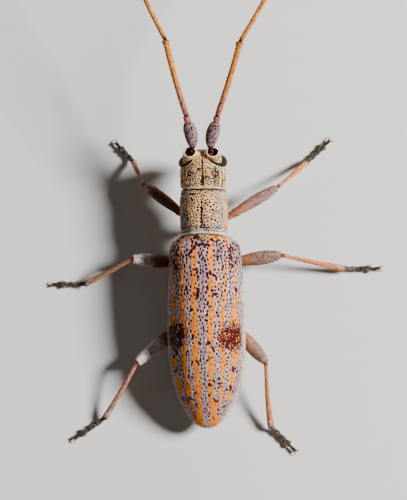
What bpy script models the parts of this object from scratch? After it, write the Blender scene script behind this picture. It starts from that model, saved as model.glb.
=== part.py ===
"""Small mulberry borer, a longhorn beetle, standing with its antennae held forward.

Metres, +Z up. The head faces -Y and the beetle's left side is +X. The shapes are worked out
round a working point: x = 0 on the midline, y = 0 where the pronotum meets the elytra. The
body is made level and its front is then raised. An empty carries every part so that the whole
stands centred over the origin.
"""
import math

import bmesh
import bpy
from mathutils import Vector

MM = 0.001

# Spaces between neighbouring parts
JOINT_GAP = 0.2 * MM
FINE_GAP = 0.1 * MM

# How the body stands: its rise towards the head, and the y that keeps its height
BODY_RISE = 0.11
LEVEL_Y = 2.2

# Head levels from the mouth up to the crown: z, half width, y of the front, y of the back
NECK_Y = -1.93
HEAD_LEVELS = (
    (0.98, 0.50, -3.20, -2.52),
    (1.08, 0.60, -3.31, -2.30),
    (1.30, 0.74, -3.38, -2.05),
    (1.60, 0.85, -3.42, -1.95),
    (1.95, 0.89, -3.42, NECK_Y),
    (2.20, 0.83, -3.38, NECK_Y),
    (2.42, 0.68, -3.28, NECK_Y),
    (2.57, 0.47, -3.12, NECK_Y),
    (2.64, 0.22, -2.92, -2.00),
)
HEAD_RINGS = 16
HEAD_ROOT_Z = 1.75
FACE_SQUARENESS = 2.5
NAPE_SQUARENESS = 7.0

# Antennal sockets: out from the midline, y, z, on top of a stub that leans forward
SOCKET = (0.43, -3.24, 2.60)
TUBERCLE_ROOT = (0.40, -2.95, 2.18)
TUBERCLE_RADII = (0.33, 0.27)

# Eyes: a crescent that wraps the back of the socket and swells into a lower lobe
# out, y, z, radius across the band
EYE_RINGS = 15
EYE_END_SHARE = 0.6
EYE_LINE = (
    (0.31, -2.96, 2.57, 0.07),
    (0.46, -2.83, 2.53, 0.095),
    (0.62, -2.79, 2.39, 0.12),
    (0.72, -2.83, 2.18, 0.17),
    (0.73, -2.92, 1.90, 0.235),
    (0.70, -3.00, 1.64, 0.20),
    (0.66, -3.04, 1.46, 0.10),
)

# Mandibles: out, y, z, radius
MANDIBLE_LINE = (
    (0.30, -3.00, 0.86, 0.17),
    (0.31, -3.06, 0.74, 0.15),
    (0.25, -3.10, 0.62, 0.11),
    (0.13, -3.12, 0.54, 0.05),
)

# Antennae: length of each segment, and the names of the lengths that carry them
SEGMENT_LENGTHS = (1.24, 0.25, 3.10, 2.45, 2.05, 1.85, 1.75, 1.65, 1.50, 1.40, 1.55)
# Degrees outward from straight ahead, and degrees upward
SEGMENT_HEADINGS = {
    "left": (3.0, 9.0, 14.6, 25.2, 33.5, 41.5, 48.5, 54.5, 60.5, 65.5, 69.5),
    "right": (10.0, 12.0, 19.0, 31.0, 39.0, 46.5, 53.5, 59.5, 65.5, 70.5, 74.5),
}
SEGMENT_RISES = {
    "left": (22.0, 16.0, 11.0, 6.0, 2.0, -2.0, -5.0, -8.0, -10.0, -12.0, -14.0),
    "right": (23.0, 18.0, 15.0, 7.0, 2.0, -2.0, -5.0, -8.0, -11.0, -14.0, -16.0),
}
ANTENNA_LENGTHS = (
    ("scape", 0, 1),
    ("third", 1, 3),
    ("middle", 3, 5),
    ("outer", 5, 8),
    ("tip", 8, 11),
)
SCAPE_SHARES = (0.0, 0.35, 0.75, 1.0)
SCAPE_RADII = (0.20, 0.27, 0.26, 0.22)
SHORT_SEGMENT_SHARES = (0.25, 0.80)
LONG_SEGMENT_SHARES = (0.15, 0.86)
FLAGELLUM_RADIUS = 0.25
KNOB_RADIUS = 0.28
ANTENNA_TIP_RADIUS = 0.08
TAPER_SEGMENTS = 3

# Pronotum: y, half width, top, underside
PRONOTUM_RINGS = (
    (-1.73, 0.895, 2.60, 0.92),
    (-1.60, 0.925, 2.65, 0.88),
    (-1.10, 0.945, 2.68, 0.84),
    (-0.60, 0.935, 2.67, 0.85),
    (-0.22, 0.920, 2.64, 0.86),
    (-0.10, 0.925, 2.62, 0.88),
)
PRONOTUM_RING_COUNT = 15
PRONOTUM_SQUARENESS = 2.15
PRONOTUM_FURROWS = (-1.58, -0.30)
FURROW_DEPTH = 0.03
FURROW_WIDTH = 0.07
MIDLINE_GROOVE_DEPTH = 0.04
MIDLINE_GROOVE_WIDTH = 0.07

# Elytra and the body under them, by distance behind the pronotum
ELYTRA_FRONT_Y = 0.10
ELYTRA_END_Y = 7.56
ELYTRA_HALF_WIDTHS = (
    (0.10, 1.08), (0.22, 1.27), (0.45, 1.385), (0.90, 1.42), (2.10, 1.48), (3.80, 1.525),
    (4.90, 1.475), (5.60, 1.37), (6.20, 1.20), (6.80, 0.91), (7.25, 0.62), (7.45, 0.42),
    (7.56, 0.20),
)
ELYTRA_TOPS = (
    (0.10, 2.58), (0.40, 2.70), (1.20, 2.80), (2.60, 2.86), (4.20, 2.83), (5.40, 2.64),
    (6.30, 2.32), (7.00, 1.94), (7.40, 1.65), (7.56, 1.48),
)
MARGIN_HEIGHTS = (
    (0.10, 1.42), (0.60, 1.26), (2.00, 1.14), (4.00, 1.08), (5.60, 1.10), (6.80, 1.20),
    (7.56, 1.36),
)
BELLY_HEIGHTS = (
    (0.10, 0.86), (0.60, 0.66), (1.60, 0.50), (2.80, 0.47), (4.00, 0.52), (5.50, 0.66),
    (6.60, 0.86), (7.20, 1.05),
)
ELYTRA_RINGS = 27
HOLLOW_RINGS = 20
HOLLOW_REACH = 0.5
HALVING_REACH = 5.0
ELYTRA_SQUARENESS = 2.25
BELLY_SQUARENESS = 2.4
SHOULDER = (1.0, 2.2)
ELYTRON_THICKNESS = 0.5
FLANK_INSET = 0.07
LEAST_CORE = 0.08
UNDERBODY_ROOT_Z = 1.2
THORAX_RINGS = 12
ABDOMEN_RINGS = 27
CORE_POINTS = 13
BELLY_POINTS = 21
THORAX_END_Y = 3.45
ABDOMEN_END_Y = 7.15
ABDOMEN_SEAMS = (4.35, 5.15, 5.90, 6.55)
SEAM_DEPTH = 0.045
SEAM_WIDTH = 0.06

# Scutellum: the small plate between the bases of the elytra
SCUTELLUM_HALF_WIDTH = 0.25
SCUTELLUM_LENGTH = 0.30
SCUTELLUM_BOTTOM_Z = 2.10
SCUTELLUM_TOP_Z = 2.74
SCUTELLUM_STEPS = 12

# The floor, below the working point's level by how high the legs lift the body
FLOOR_Z = -0.25
# Coxae: out, y, z, radius
COXAE = {
    "front": (0.36, -0.52, 0.82, 0.30),
    "middle": (0.50, 1.00, 0.55, 0.30),
    "hind": (0.56, 3.02, 0.50, 0.32),
}
COXA_DROOP = 0.45
COXA_STEPS = (14, 9)
HIP_GAP = 0.11
# Legs: out, y and height above the floor of the knee, the ankle and the tip of the tarsus
LEGS = {
    "front_left": ((2.46, -2.12, 1.50), (3.00, -3.12, 0.33), (3.86, -4.05, 0.13)),
    "front_right": ((2.87, -2.00, 1.35), (3.95, -3.04, 0.33), (5.02, -4.05, 0.13)),
    "middle_left": ((2.98, 0.83, 1.40), (4.94, 1.76, 0.33), (6.50, 1.77, 0.13)),
    "middle_right": ((2.99, 0.71, 1.25), (5.47, 1.23, 0.33), (7.05, 1.22, 0.13)),
    "hind_left": ((2.82, 4.99, 1.30), (4.17, 7.12, 0.33), (5.61, 8.10, 0.13)),
    "hind_right": ((2.36, 4.97, 1.30), (2.48, 7.52, 0.33), (3.58, 8.63, 0.13)),
}
FEMUR_SHARES = (0.0, 0.22, 0.42, 0.60, 0.78, 1.0)
FEMUR_RADII = {
    "front": (0.22, 0.23, 0.25, 0.27, 0.28, 0.25),
    "middle": (0.22, 0.23, 0.26, 0.29, 0.30, 0.25),
    "hind": (0.22, 0.23, 0.26, 0.29, 0.31, 0.25),
}
TIBIA_SHARES = (0.0, 0.35, 0.7, 1.0)
TIBIA_RADII = (0.24, 0.25, 0.25, 0.26)
# Part of the tarsus's length, half width, half height
TARSUS_RINGS = (
    (0.00, 0.25, 0.25), (0.22, 0.27, 0.24), (0.30, 0.24, 0.22), (0.42, 0.27, 0.22),
    (0.50, 0.25, 0.20), (0.62, 0.31, 0.20), (0.70, 0.27, 0.16), (0.74, 0.15, 0.13),
    (0.92, 0.13, 0.12),
)
SOLE_SHARE = 0.92
ANKLE_DROP = 0.05
LEAST_SHIN_HEIGHT = 0.03
CLAW_LENGTH = 0.30
CLAW_RADII = (0.08, 0.06, 0.025)
CLAW_SPREAD = 0.13
CLAW_ROOT = 0.08
# Share of the length and of the spread, and how far up or down, at a claw's bend and its tip
CLAW_BEND = (0.45, 0.6, 0.01)
CLAW_TIP = (0.8, 1.0, -0.05)

SIDES = {"left": 1.0, "right": -1.0}
LIMB_SIDES = 10
TARSUS_SIDES = 10
CLAW_SIDES = 5
BODY_SIDES = 36
HEAD_SIDES = 36
EYE_SIDES = 10

FINISHES = {
    "head_shell": ((0.40, 0.27, 0.16), 0.60),
    "eye_lens": ((0.03, 0.03, 0.035), 0.15),
    "jaw": ((0.12, 0.05, 0.03), 0.35),
    "antenna_shell": ((0.47, 0.24, 0.11), 0.45),
    "scape_shell": ((0.34, 0.25, 0.23), 0.55),
    "pronotum_shell": ((0.42, 0.32, 0.22), 0.60),
    "scutellum_down": ((0.62, 0.50, 0.36), 0.75),
    "elytra_shell": ((0.50, 0.33, 0.20), 0.60),
    "underside": ((0.30, 0.23, 0.20), 0.60),
    "femur_shell": ((0.33, 0.25, 0.22), 0.55),
    "tibia_shell": ((0.46, 0.28, 0.16), 0.50),
    "tarsus_shell": ((0.16, 0.13, 0.10), 0.60),
}


def clear_scene():
    for obj in list(bpy.data.objects):
        bpy.data.objects.remove(obj, do_unlink=True)


def make_materials():
    for name, (colour, roughness) in FINISHES.items():
        material = bpy.data.materials.new(name)
        material.use_nodes = True
        shader = material.node_tree.nodes["Principled BSDF"]
        shader.inputs["Base Color"].default_value = (*colour, 1.0)
        shader.inputs["Roughness"].default_value = roughness
        shader.inputs["Metallic"].default_value = 0.0


def smooth_value(points, at):
    """Height of a smooth line through (position, height) points, flat past its ends."""
    if at <= points[0][0]:
        return points[0][1]
    if at >= points[-1][0]:
        return points[-1][1]
    last = len(points) - 1
    index = max(i for i in range(last) if points[i][0] <= at)
    x0, y0 = points[index]
    x1, y1 = points[index + 1]
    before = points[max(index - 1, 0)]
    after = points[min(index + 2, last)]
    slope_0 = (y1 - before[1]) / (x1 - before[0])
    slope_1 = (after[1] - y0) / (after[0] - x0)
    step = x1 - x0
    t = (at - x0) / step
    return ((2 * t ** 3 - 3 * t ** 2 + 1) * y0 + (t ** 3 - 2 * t ** 2 + t) * step * slope_0
            + (3 * t ** 2 - 2 * t ** 3) * y1 + (t ** 3 - t ** 2) * step * slope_1)


def smooth_column(rows, column, at):
    """The same line through one column of a table whose first column is the position."""
    return smooth_value([(row[0], row[column]) for row in rows], at)


def even_steps(start, end, count):
    return [start + (end - start) * i / (count - 1) for i in range(count)]


def eased_steps(start, end, count):
    """Positions that crowd towards both ends, where a rounded form turns fastest."""
    return [start + (end - start) * (1 - math.cos(math.pi * i / (count - 1))) / 2
            for i in range(count)]


def round_power(angle, squareness):
    """Cosine and sine of a superellipse, which is a circle at a squareness of 2."""
    power = 2.0 / squareness
    cosine = math.cos(angle)
    sine = math.sin(angle)
    return (math.copysign(abs(cosine) ** power, cosine),
            math.copysign(abs(sine) ** power, sine))


def loft(rings):
    """A closed body through rings of points in millimetres, with a flat cap at each end."""
    body = bmesh.new()
    made = [[body.verts.new(Vector(point) * MM) for point in ring] for ring in rings]
    count = len(rings[0])
    for low, high in zip(made, made[1:]):
        for i in range(count):
            j = (i + 1) % count
            body.faces.new((low[i], low[j], high[j], high[i]))
    body.faces.new(list(reversed(made[0])))
    body.faces.new(made[-1])
    bmesh.ops.recalc_face_normals(body, faces=body.faces)
    return body


def add_part(name, body, finish, root=(0.0, 0.0, 0.0)):
    """An object whose origin is its root, in millimetres from the working point."""
    origin = Vector(root) * MM
    bmesh.ops.translate(body, verts=body.verts, vec=-origin)
    mesh = bpy.data.meshes.new(name)
    body.to_mesh(mesh)
    body.free()
    obj = bpy.data.objects.new(name, mesh)
    obj.location = origin
    beetle.objects.link(obj)
    obj.data.materials.append(bpy.data.materials[finish])
    obj.data.shade_smooth()
    obj.data.set_sharp_from_angle(angle=math.radians(40))
    return obj


def keep_largest_surface(mesh):
    """Drops the scraps and sealed hollows that a union or a cut can leave."""
    body = bmesh.new()
    body.from_mesh(mesh)
    waiting = set(body.verts)
    islands = []
    while waiting:
        island = {waiting.pop()}
        edge_of_island = list(island)
        while edge_of_island:
            vert = edge_of_island.pop()
            for link in vert.link_edges:
                other = link.other_vert(vert)
                if other in waiting:
                    waiting.discard(other)
                    island.add(other)
                    edge_of_island.append(other)
        islands.append(island)
    largest = max(islands, key=len)
    loose = [vert for vert in body.verts if vert not in largest]
    bmesh.ops.delete(body, geom=loose, context="VERTS")
    body.to_mesh(mesh)
    body.free()


def combine(target, tools, operation):
    """Joins tools to the target or cuts them from it, applies that, and removes the tools."""
    group = bpy.data.collections.new(target.name + "_tools")
    bpy.context.scene.collection.children.link(group)
    for tool in tools:
        for owner in list(tool.users_collection):
            owner.objects.unlink(tool)
        group.objects.link(tool)
    modifier = target.modifiers.new("combine", "BOOLEAN")
    modifier.operand_type = "COLLECTION"
    modifier.collection = group
    modifier.operation = operation
    modifier.solver = "EXACT"
    bpy.context.view_layer.update()
    result = bpy.data.meshes.new_from_object(
        target.evaluated_get(bpy.context.evaluated_depsgraph_get()))
    keep_largest_surface(result)
    target.modifiers.clear()
    target.data = result
    for tool in tools:
        bpy.data.objects.remove(tool, do_unlink=True)
    bpy.data.collections.remove(group)


def path_frame(direction):
    """Two directions across a path: one level, one as near upright as it can be."""
    level = direction.cross(Vector((0, 0, 1)))
    if level.length < 1e-6:
        level = Vector((1, 0, 0))
    level.normalize()
    upright = level.cross(direction).normalized()
    return level, upright


def path_direction(points, index):
    before = points[max(index - 1, 0)]
    after = points[min(index + 1, len(points) - 1)]
    return (after - before).normalized()


def tube_rings(points, radii, sides, start_normal=None, end_normal=None, floor=None):
    """Rings along a path. An end normal turns that end ring to meet the next part."""
    rings = []
    last = len(points) - 1
    for index, (point, radius) in enumerate(zip(points, radii)):
        across, tall = radius if isinstance(radius, tuple) else (radius, radius)
        direction = path_direction(points, index)
        level, upright = path_frame(direction)
        normal = start_normal if index == 0 else end_normal if index == last else None
        ring = []
        for i in range(sides):
            angle = 2 * math.pi * (i + 0.5) / sides
            offset = level * across * math.cos(angle) + upright * tall * math.sin(angle)
            if normal is not None:
                offset -= direction * (offset.dot(normal) / direction.dot(normal))
            place = point + offset
            if floor is not None:
                place.z = max(place.z, floor)
            ring.append(place)
        rings.append(ring)
    return rings


def joint_normal(before, joint, after):
    """The direction square to the plane in which two lengths of a limb meet."""
    return ((joint - before).normalized() + (after - joint).normalized()).normalized()


def side_point(side, place):
    return Vector((SIDES[side] * place[0], place[1], place[2]))


def body_point(side, place):
    """A place on the body as it stands, given as if the body were level."""
    point = side_point(side, place)
    point.z += BODY_RISE * (LEVEL_Y - point.y)
    return point


def raise_front():
    """Leans every part made so far, so that the head is held high and the tail low."""
    for obj in beetle.objects:
        obj.location.z += BODY_RISE * (LEVEL_Y * MM - obj.location.y)
        for vert in obj.data.vertices:
            vert.co.z -= BODY_RISE * vert.co.y


def build_head():
    rings = []
    for level in eased_steps(HEAD_LEVELS[0][0], HEAD_LEVELS[-1][0], HEAD_RINGS):
        half = smooth_column(HEAD_LEVELS, 1, level)
        front = smooth_column(HEAD_LEVELS, 2, level)
        back = smooth_column(HEAD_LEVELS, 3, level)
        ring = []
        for i in range(HEAD_SIDES):
            angle = 2 * math.pi * (i + 0.5) / HEAD_SIDES
            squareness = NAPE_SQUARENESS if angle < math.pi else FACE_SQUARENESS
            cosine, sine = round_power(angle, squareness)
            y = (front + back) / 2 + (back - front) / 2 * sine
            ring.append((half * cosine, y, level))
        rings.append(ring)
    head = add_part("head", loft(rings), "head_shell", (0, NECK_Y, HEAD_ROOT_Z))
    stubs = []
    for side in SIDES:
        root = side_point(side, TUBERCLE_ROOT)
        tip = side_point(side, SOCKET)
        stub = tube_rings([root, root.lerp(tip, 0.5), tip],
                          [TUBERCLE_RADII[0], sum(TUBERCLE_RADII) / 2, TUBERCLE_RADII[1]],
                          LIMB_SIDES)
        stubs.append(add_part("tubercle_" + side, loft(stub), "head_shell"))
    combine(head, stubs, "UNION")
    combine(head, [add_eye("eye_bed_" + side, side, FINE_GAP / MM) for side in SIDES],
            "DIFFERENCE")
    for side in SIDES:
        add_eye("eye_" + side, side, 0.0)
    return head


def add_eye(name, side, grow):
    """The eye, or the bed for it when it is grown by the gap round it."""
    points = [side_point(side, row[:3]) for row in EYE_LINE]
    radii = [row[3] for row in EYE_LINE]
    dense = []
    dense_radii = []
    for share in even_steps(0.0, len(points) - 1.0, EYE_RINGS):
        columns = [smooth_value(list(enumerate(p[axis] for p in points)), share)
                   for axis in range(3)]
        dense.append(Vector(columns))
        dense_radii.append(smooth_value(list(enumerate(radii)), share) + grow)
    first = path_direction(dense, 0)
    last = path_direction(dense, len(dense) - 1)
    dense = [dense[0] - first * (dense_radii[0] * EYE_END_SHARE)] + dense + [
        dense[-1] + last * (dense_radii[-1] * EYE_END_SHARE)]
    dense_radii = ([dense_radii[0] * EYE_END_SHARE] + dense_radii
                   + [dense_radii[-1] * EYE_END_SHARE])
    return add_part(name, loft(tube_rings(dense, dense_radii, EYE_SIDES)), "eye_lens",
                    tuple(points[4]))


def build_mandibles():
    for side in SIDES:
        points = [side_point(side, row[:3]) for row in MANDIBLE_LINE]
        radii = [row[3] for row in MANDIBLE_LINE]
        rings = tube_rings(points, radii, LIMB_SIDES, start_normal=Vector((0, 0, -1)))
        add_part("mandible_" + side, loft(rings), "jaw", tuple(points[0]))


def antenna_joints(side):
    """The ends of the eleven segments, from the socket to the tip."""
    place = body_point(side, SOCKET)
    joints = [place]
    for length, heading, rise in zip(SEGMENT_LENGTHS, SEGMENT_HEADINGS[side],
                                     SEGMENT_RISES[side]):
        turn = math.radians(heading)
        lift = math.radians(rise)
        step = Vector((SIDES[side] * math.sin(turn) * math.cos(lift),
                       -math.cos(turn) * math.cos(lift), math.sin(lift)))
        place = place + step * length
        joints.append(place)
    return joints


def flagellum_radius(segment):
    """The feeler thins evenly along its last segments."""
    total = len(SEGMENT_LENGTHS)
    share = max(0.0, (segment - (total - TAPER_SEGMENTS)) / TAPER_SEGMENTS)
    return FLAGELLUM_RADIUS + (ANTENNA_TIP_RADIUS - FLAGELLUM_RADIUS) * share


def build_antenna(side):
    joints = antenna_joints(side)
    directions = [(b - a).normalized() for a, b in zip(joints, joints[1:])]
    for name, first, last in ANTENNA_LENGTHS:
        start = joints[first] + directions[first] * (JOINT_GAP / MM
                                                     if first == 0 else JOINT_GAP / MM / 2)
        at_tip = last == len(SEGMENT_LENGTHS)
        end = joints[last] - directions[last - 1] * (0.0 if at_tip else JOINT_GAP / MM / 2)
        if first == 0:
            points = [start.lerp(end, share) for share in SCAPE_SHARES]
            radii = list(SCAPE_RADII)
            start_normal = (joints[0] - body_point(side, TUBERCLE_ROOT)).normalized()
        else:
            points = [start]
            radii = [flagellum_radius(first)]
            for segment in range(first, last):
                low = start if segment == first else joints[segment]
                high = end if segment == last - 1 else joints[segment + 1]
                thin = flagellum_radius(segment + 0.5)
                knob = flagellum_radius(segment + 1) * KNOB_RADIUS / FLAGELLUM_RADIUS
                for share in SHORT_SEGMENT_SHARES if segment == 1 else LONG_SEGMENT_SHARES:
                    points.append(low.lerp(high, share))
                    radii.append(thin)
                points.append(high)
                radii.append(knob)
            if at_tip:
                radii[-1] = ANTENNA_TIP_RADIUS
            start_normal = joint_normal(joints[first - 1], joints[first], joints[first + 1])
        end_normal = None
        if not at_tip:
            end_normal = joint_normal(joints[last - 1], joints[last], joints[last + 1])
        finish = "scape_shell" if first == 0 else "antenna_shell"
        rings = tube_rings(points, radii, LIMB_SIDES, start_normal, end_normal)
        add_part("antenna_%s_%s" % (side, name), loft(rings), finish, tuple(joints[first]))


def build_pronotum():
    rings = []
    for y in eased_steps(PRONOTUM_RINGS[0][0], PRONOTUM_RINGS[-1][0], PRONOTUM_RING_COUNT):
        half = smooth_column(PRONOTUM_RINGS, 1, y)
        top = smooth_column(PRONOTUM_RINGS, 2, y)
        bottom = smooth_column(PRONOTUM_RINGS, 3, y)
        furrow = sum(math.exp(-((y - at) / FURROW_WIDTH) ** 2) for at in PRONOTUM_FURROWS)
        ring = []
        for i in range(BODY_SIDES):
            cosine, sine = round_power(2 * math.pi * (i + 0.5) / BODY_SIDES,
                                       PRONOTUM_SQUARENESS)
            x = (half - FURROW_DEPTH * furrow) * cosine
            z = (top + bottom) / 2 + ((top - bottom) / 2 - FURROW_DEPTH * furrow) * sine
            if sine > 0:
                z -= MIDLINE_GROOVE_DEPTH * math.exp(-(x / MIDLINE_GROOVE_WIDTH) ** 2)
            ring.append((x, y, z))
        rings.append(ring)
    return add_part("pronotum", loft(rings), "pronotum_shell", (0, 0, HEAD_ROOT_Z))


def elytra_half_width(y):
    return smooth_value(ELYTRA_HALF_WIDTHS, y)


def elytra_top(y):
    return smooth_value(ELYTRA_TOPS, y)


def margin_height(y):
    return smooth_value(MARGIN_HEIGHTS, y)


def core_size(y):
    """Half width and height of what the elytra cover, above the line of their margins."""
    skin = ELYTRON_THICKNESS + JOINT_GAP / MM
    half = max(elytra_half_width(y) - skin, LEAST_CORE)
    height = max(elytra_top(y) - margin_height(y) - skin + JOINT_GAP / MM, LEAST_CORE)
    return half, height


def elytra_form():
    rings = []
    for y in eased_steps(ELYTRA_FRONT_Y, ELYTRA_END_Y, ELYTRA_RINGS):
        half = elytra_half_width(y)
        top = elytra_top(y)
        margin = margin_height(y)
        ring = []
        upper = BODY_SIDES // 2 + 1
        for i in range(upper):
            cosine, sine = round_power(math.pi * i / (upper - 1), ELYTRA_SQUARENESS)
            ring.append((half * cosine, y, margin + (top - margin) * sine))
        rings.append(ring)
    return loft(rings)


def hollow_form():
    """The space under the elytra: the core of the body grown by the gap round it."""
    gap = JOINT_GAP / MM
    rings = []
    for y in even_steps(ELYTRA_FRONT_Y - HOLLOW_REACH, ABDOMEN_END_Y + gap, HOLLOW_RINGS):
        half, height = core_size(min(max(y, ELYTRA_FRONT_Y), ABDOMEN_END_Y))
        base = margin_height(y) - gap
        ring = []
        upper = BODY_SIDES // 2 + 1
        for i in range(upper):
            cosine, sine = round_power(math.pi * i / (upper - 1), ELYTRA_SQUARENESS)
            ring.append(((half + gap) * cosine, y, base + (height + gap) * sine))
        ring.append((-(half + gap), y, base - HOLLOW_REACH))
        ring.append((half + gap, y, base - HOLLOW_REACH))
        rings.append(ring)
    return loft(rings)


def slab(name, low, high):
    """A box between two corners, in millimetres from the working point."""
    body = bmesh.new()
    bmesh.ops.create_cube(body, size=1.0)
    size = (Vector(high) - Vector(low)) * MM
    bmesh.ops.scale(body, verts=body.verts, vec=size)
    middle = (Vector(high) + Vector(low)) / 2 * MM
    bmesh.ops.translate(body, verts=body.verts, vec=middle)
    return add_part(name, body, "elytra_shell")


def scutellum_form(grow):
    rings = []
    for z in (SCUTELLUM_BOTTOM_Z - grow, SCUTELLUM_TOP_Z + grow * 5):
        half = SCUTELLUM_HALF_WIDTH + grow
        front = ELYTRA_FRONT_Y - grow * 3
        ring = [(-half, front, z)]
        for i in range(SCUTELLUM_STEPS + 1):
            angle = math.pi - math.pi * i / SCUTELLUM_STEPS
            ring.append((half * math.cos(angle), ELYTRA_FRONT_Y + 0.02
                         + (SCUTELLUM_LENGTH + grow) * math.sin(angle), z))
        ring.append((half, front, z))
        rings.append(ring)
    return loft(rings)


def build_elytra():
    gap = JOINT_GAP / MM
    reach = HALVING_REACH
    for side, sign in SIDES.items():
        elytron = add_part("elytron_" + side, elytra_form(), "elytra_shell",
                           (sign * SHOULDER[0], ELYTRA_FRONT_Y, SHOULDER[1]))
        combine(elytron, [add_part("hollow", hollow_form(), "elytra_shell")], "DIFFERENCE")
        inner = -sign * reach
        corners = sorted((inner, sign * gap / 2))
        combine(elytron, [slab("other_half", (corners[0], -reach, -reach),
                               (corners[1], 2 * reach, reach))], "DIFFERENCE")
        combine(elytron, [add_part("scutellum_bed", scutellum_form(FINE_GAP / MM),
                                   "elytra_shell")], "DIFFERENCE")
    add_part("scutellum", scutellum_form(0.0), "scutellum_down",
             (0, ELYTRA_FRONT_Y, SCUTELLUM_TOP_Z))


def underbody_rings(start, end, count, seams):
    """The body below the elytra: a core that they cover, and flanks flush with their edges."""
    gap = JOINT_GAP / MM
    rings = []
    for y in even_steps(start, end, count):
        core_half, core_height = core_size(y)
        base = margin_height(y) - gap
        half = max(elytra_half_width(y) - FLANK_INSET, core_half + FLANK_INSET)
        seam = sum(math.exp(-((y - at) / SEAM_WIDTH) ** 2) for at in seams) * SEAM_DEPTH
        belly = smooth_value(BELLY_HEIGHTS, y) + seam
        ring = []
        for i in range(CORE_POINTS):
            cosine, sine = round_power(math.pi * i / (CORE_POINTS - 1), ELYTRA_SQUARENESS)
            ring.append((core_half * cosine, y, base + core_height * sine))
        for i in range(BELLY_POINTS):
            cosine, sine = round_power(math.pi + math.pi * i / (BELLY_POINTS - 1),
                                       BELLY_SQUARENESS)
            ring.append(((half - seam) * cosine, y, base + (base - belly) * sine))
        rings.append(ring)
    return rings


def build_underbody():
    thorax = add_part("thorax", loft(underbody_rings(
        ELYTRA_FRONT_Y, THORAX_END_Y - JOINT_GAP / MM / 2, THORAX_RINGS, ())), "underside",
        (0, ELYTRA_FRONT_Y, UNDERBODY_ROOT_Z))
    abdomen = add_part("abdomen", loft(underbody_rings(
        THORAX_END_Y + JOINT_GAP / MM / 2, ABDOMEN_END_Y, ABDOMEN_RINGS, ABDOMEN_SEAMS)),
        "underside", (0, THORAX_END_Y, UNDERBODY_ROOT_Z))
    return thorax, abdomen


def add_coxa(name, side, segment, grow):
    out, y, z, radius = COXAE[segment]
    body = bmesh.new()
    bmesh.ops.create_uvsphere(body, u_segments=COXA_STEPS[0], v_segments=COXA_STEPS[1],
                              radius=(radius + grow) * MM)
    centre = body_point(side, (out, y, z))
    bmesh.ops.translate(body, verts=body.verts, vec=centre * MM)
    return add_part(name, body, "underside", tuple(centre))


def cut_leg_beds(pronotum, thorax, abdomen):
    """Beds in the underside for the coxae, and for the femora where they pass under it."""
    gap = JOINT_GAP / MM
    for carrier, coxae, femora in ((pronotum, ("front",), ("front",)),
                                   (thorax, ("middle", "hind"), ("middle", "hind")),
                                   (abdomen, (), ("hind",))):
        beds = []
        for side in SIDES:
            beds += [add_coxa("coxa_bed", side, segment, gap) for segment in coxae]
            beds += [add_part("femur_bed", loft(femur_rings(segment, side, FINE_GAP / MM)),
                              "underside") for segment in femora]
        for bed in beds:
            combine(carrier, [bed], "DIFFERENCE")


def add_claws(tarsus, tip, heading):
    """Two curved claws that part at the end of the last segment."""
    level, upright = path_frame(heading)
    claws = []
    for turn in (-1.0, 1.0):
        points = [tip - heading * CLAW_ROOT]
        for reach, spread, rise in (CLAW_BEND, CLAW_TIP):
            place = tip + heading * CLAW_LENGTH * reach + level * turn * CLAW_SPREAD * spread
            place.z += rise
            points.append(place)
        rings = tube_rings(points, list(CLAW_RADII), CLAW_SIDES)
        claws.append(add_part("claw", loft(rings), "tarsus_shell"))
    combine(tarsus, claws, "UNION")


def leg_joints(segment, side):
    """Hip, knee, ankle and tip of the tarsus."""
    hip = body_point(side, COXAE[segment][:3])
    lift = Vector((0, 0, FLOOR_Z))
    return [hip] + [side_point(side, place) + lift for place in LEGS[segment + "_" + side]]


def femur_path(segment, side):
    """From the coxa the femur first keeps low under the body, then rises to the knee."""
    gap = JOINT_GAP / MM
    hip, knee, ankle, _ = leg_joints(segment, side)
    outward = Vector((knee.x - hip.x, knee.y - hip.y, 0.0)).normalized()
    outward = (outward - Vector((0, 0, COXA_DROOP))).normalized()
    start = hip + outward * (COXAE[segment][3] + HIP_GAP)
    normal = joint_normal(start, knee, ankle)
    end = knee - (knee - start).normalized() * gap / 2
    bend = start.lerp(end, 0.5)
    bend.z = start.z
    points = [start * (1 - t) ** 2 + bend * 2 * t * (1 - t) + end * t * t
              for t in FEMUR_SHARES]
    return points, outward, normal


def femur_rings(segment, side, grow):
    points, _, normal = femur_path(segment, side)
    radii = [radius + grow for radius in FEMUR_RADII[segment]]
    return tube_rings(points, radii, LIMB_SIDES, None, normal)


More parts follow.
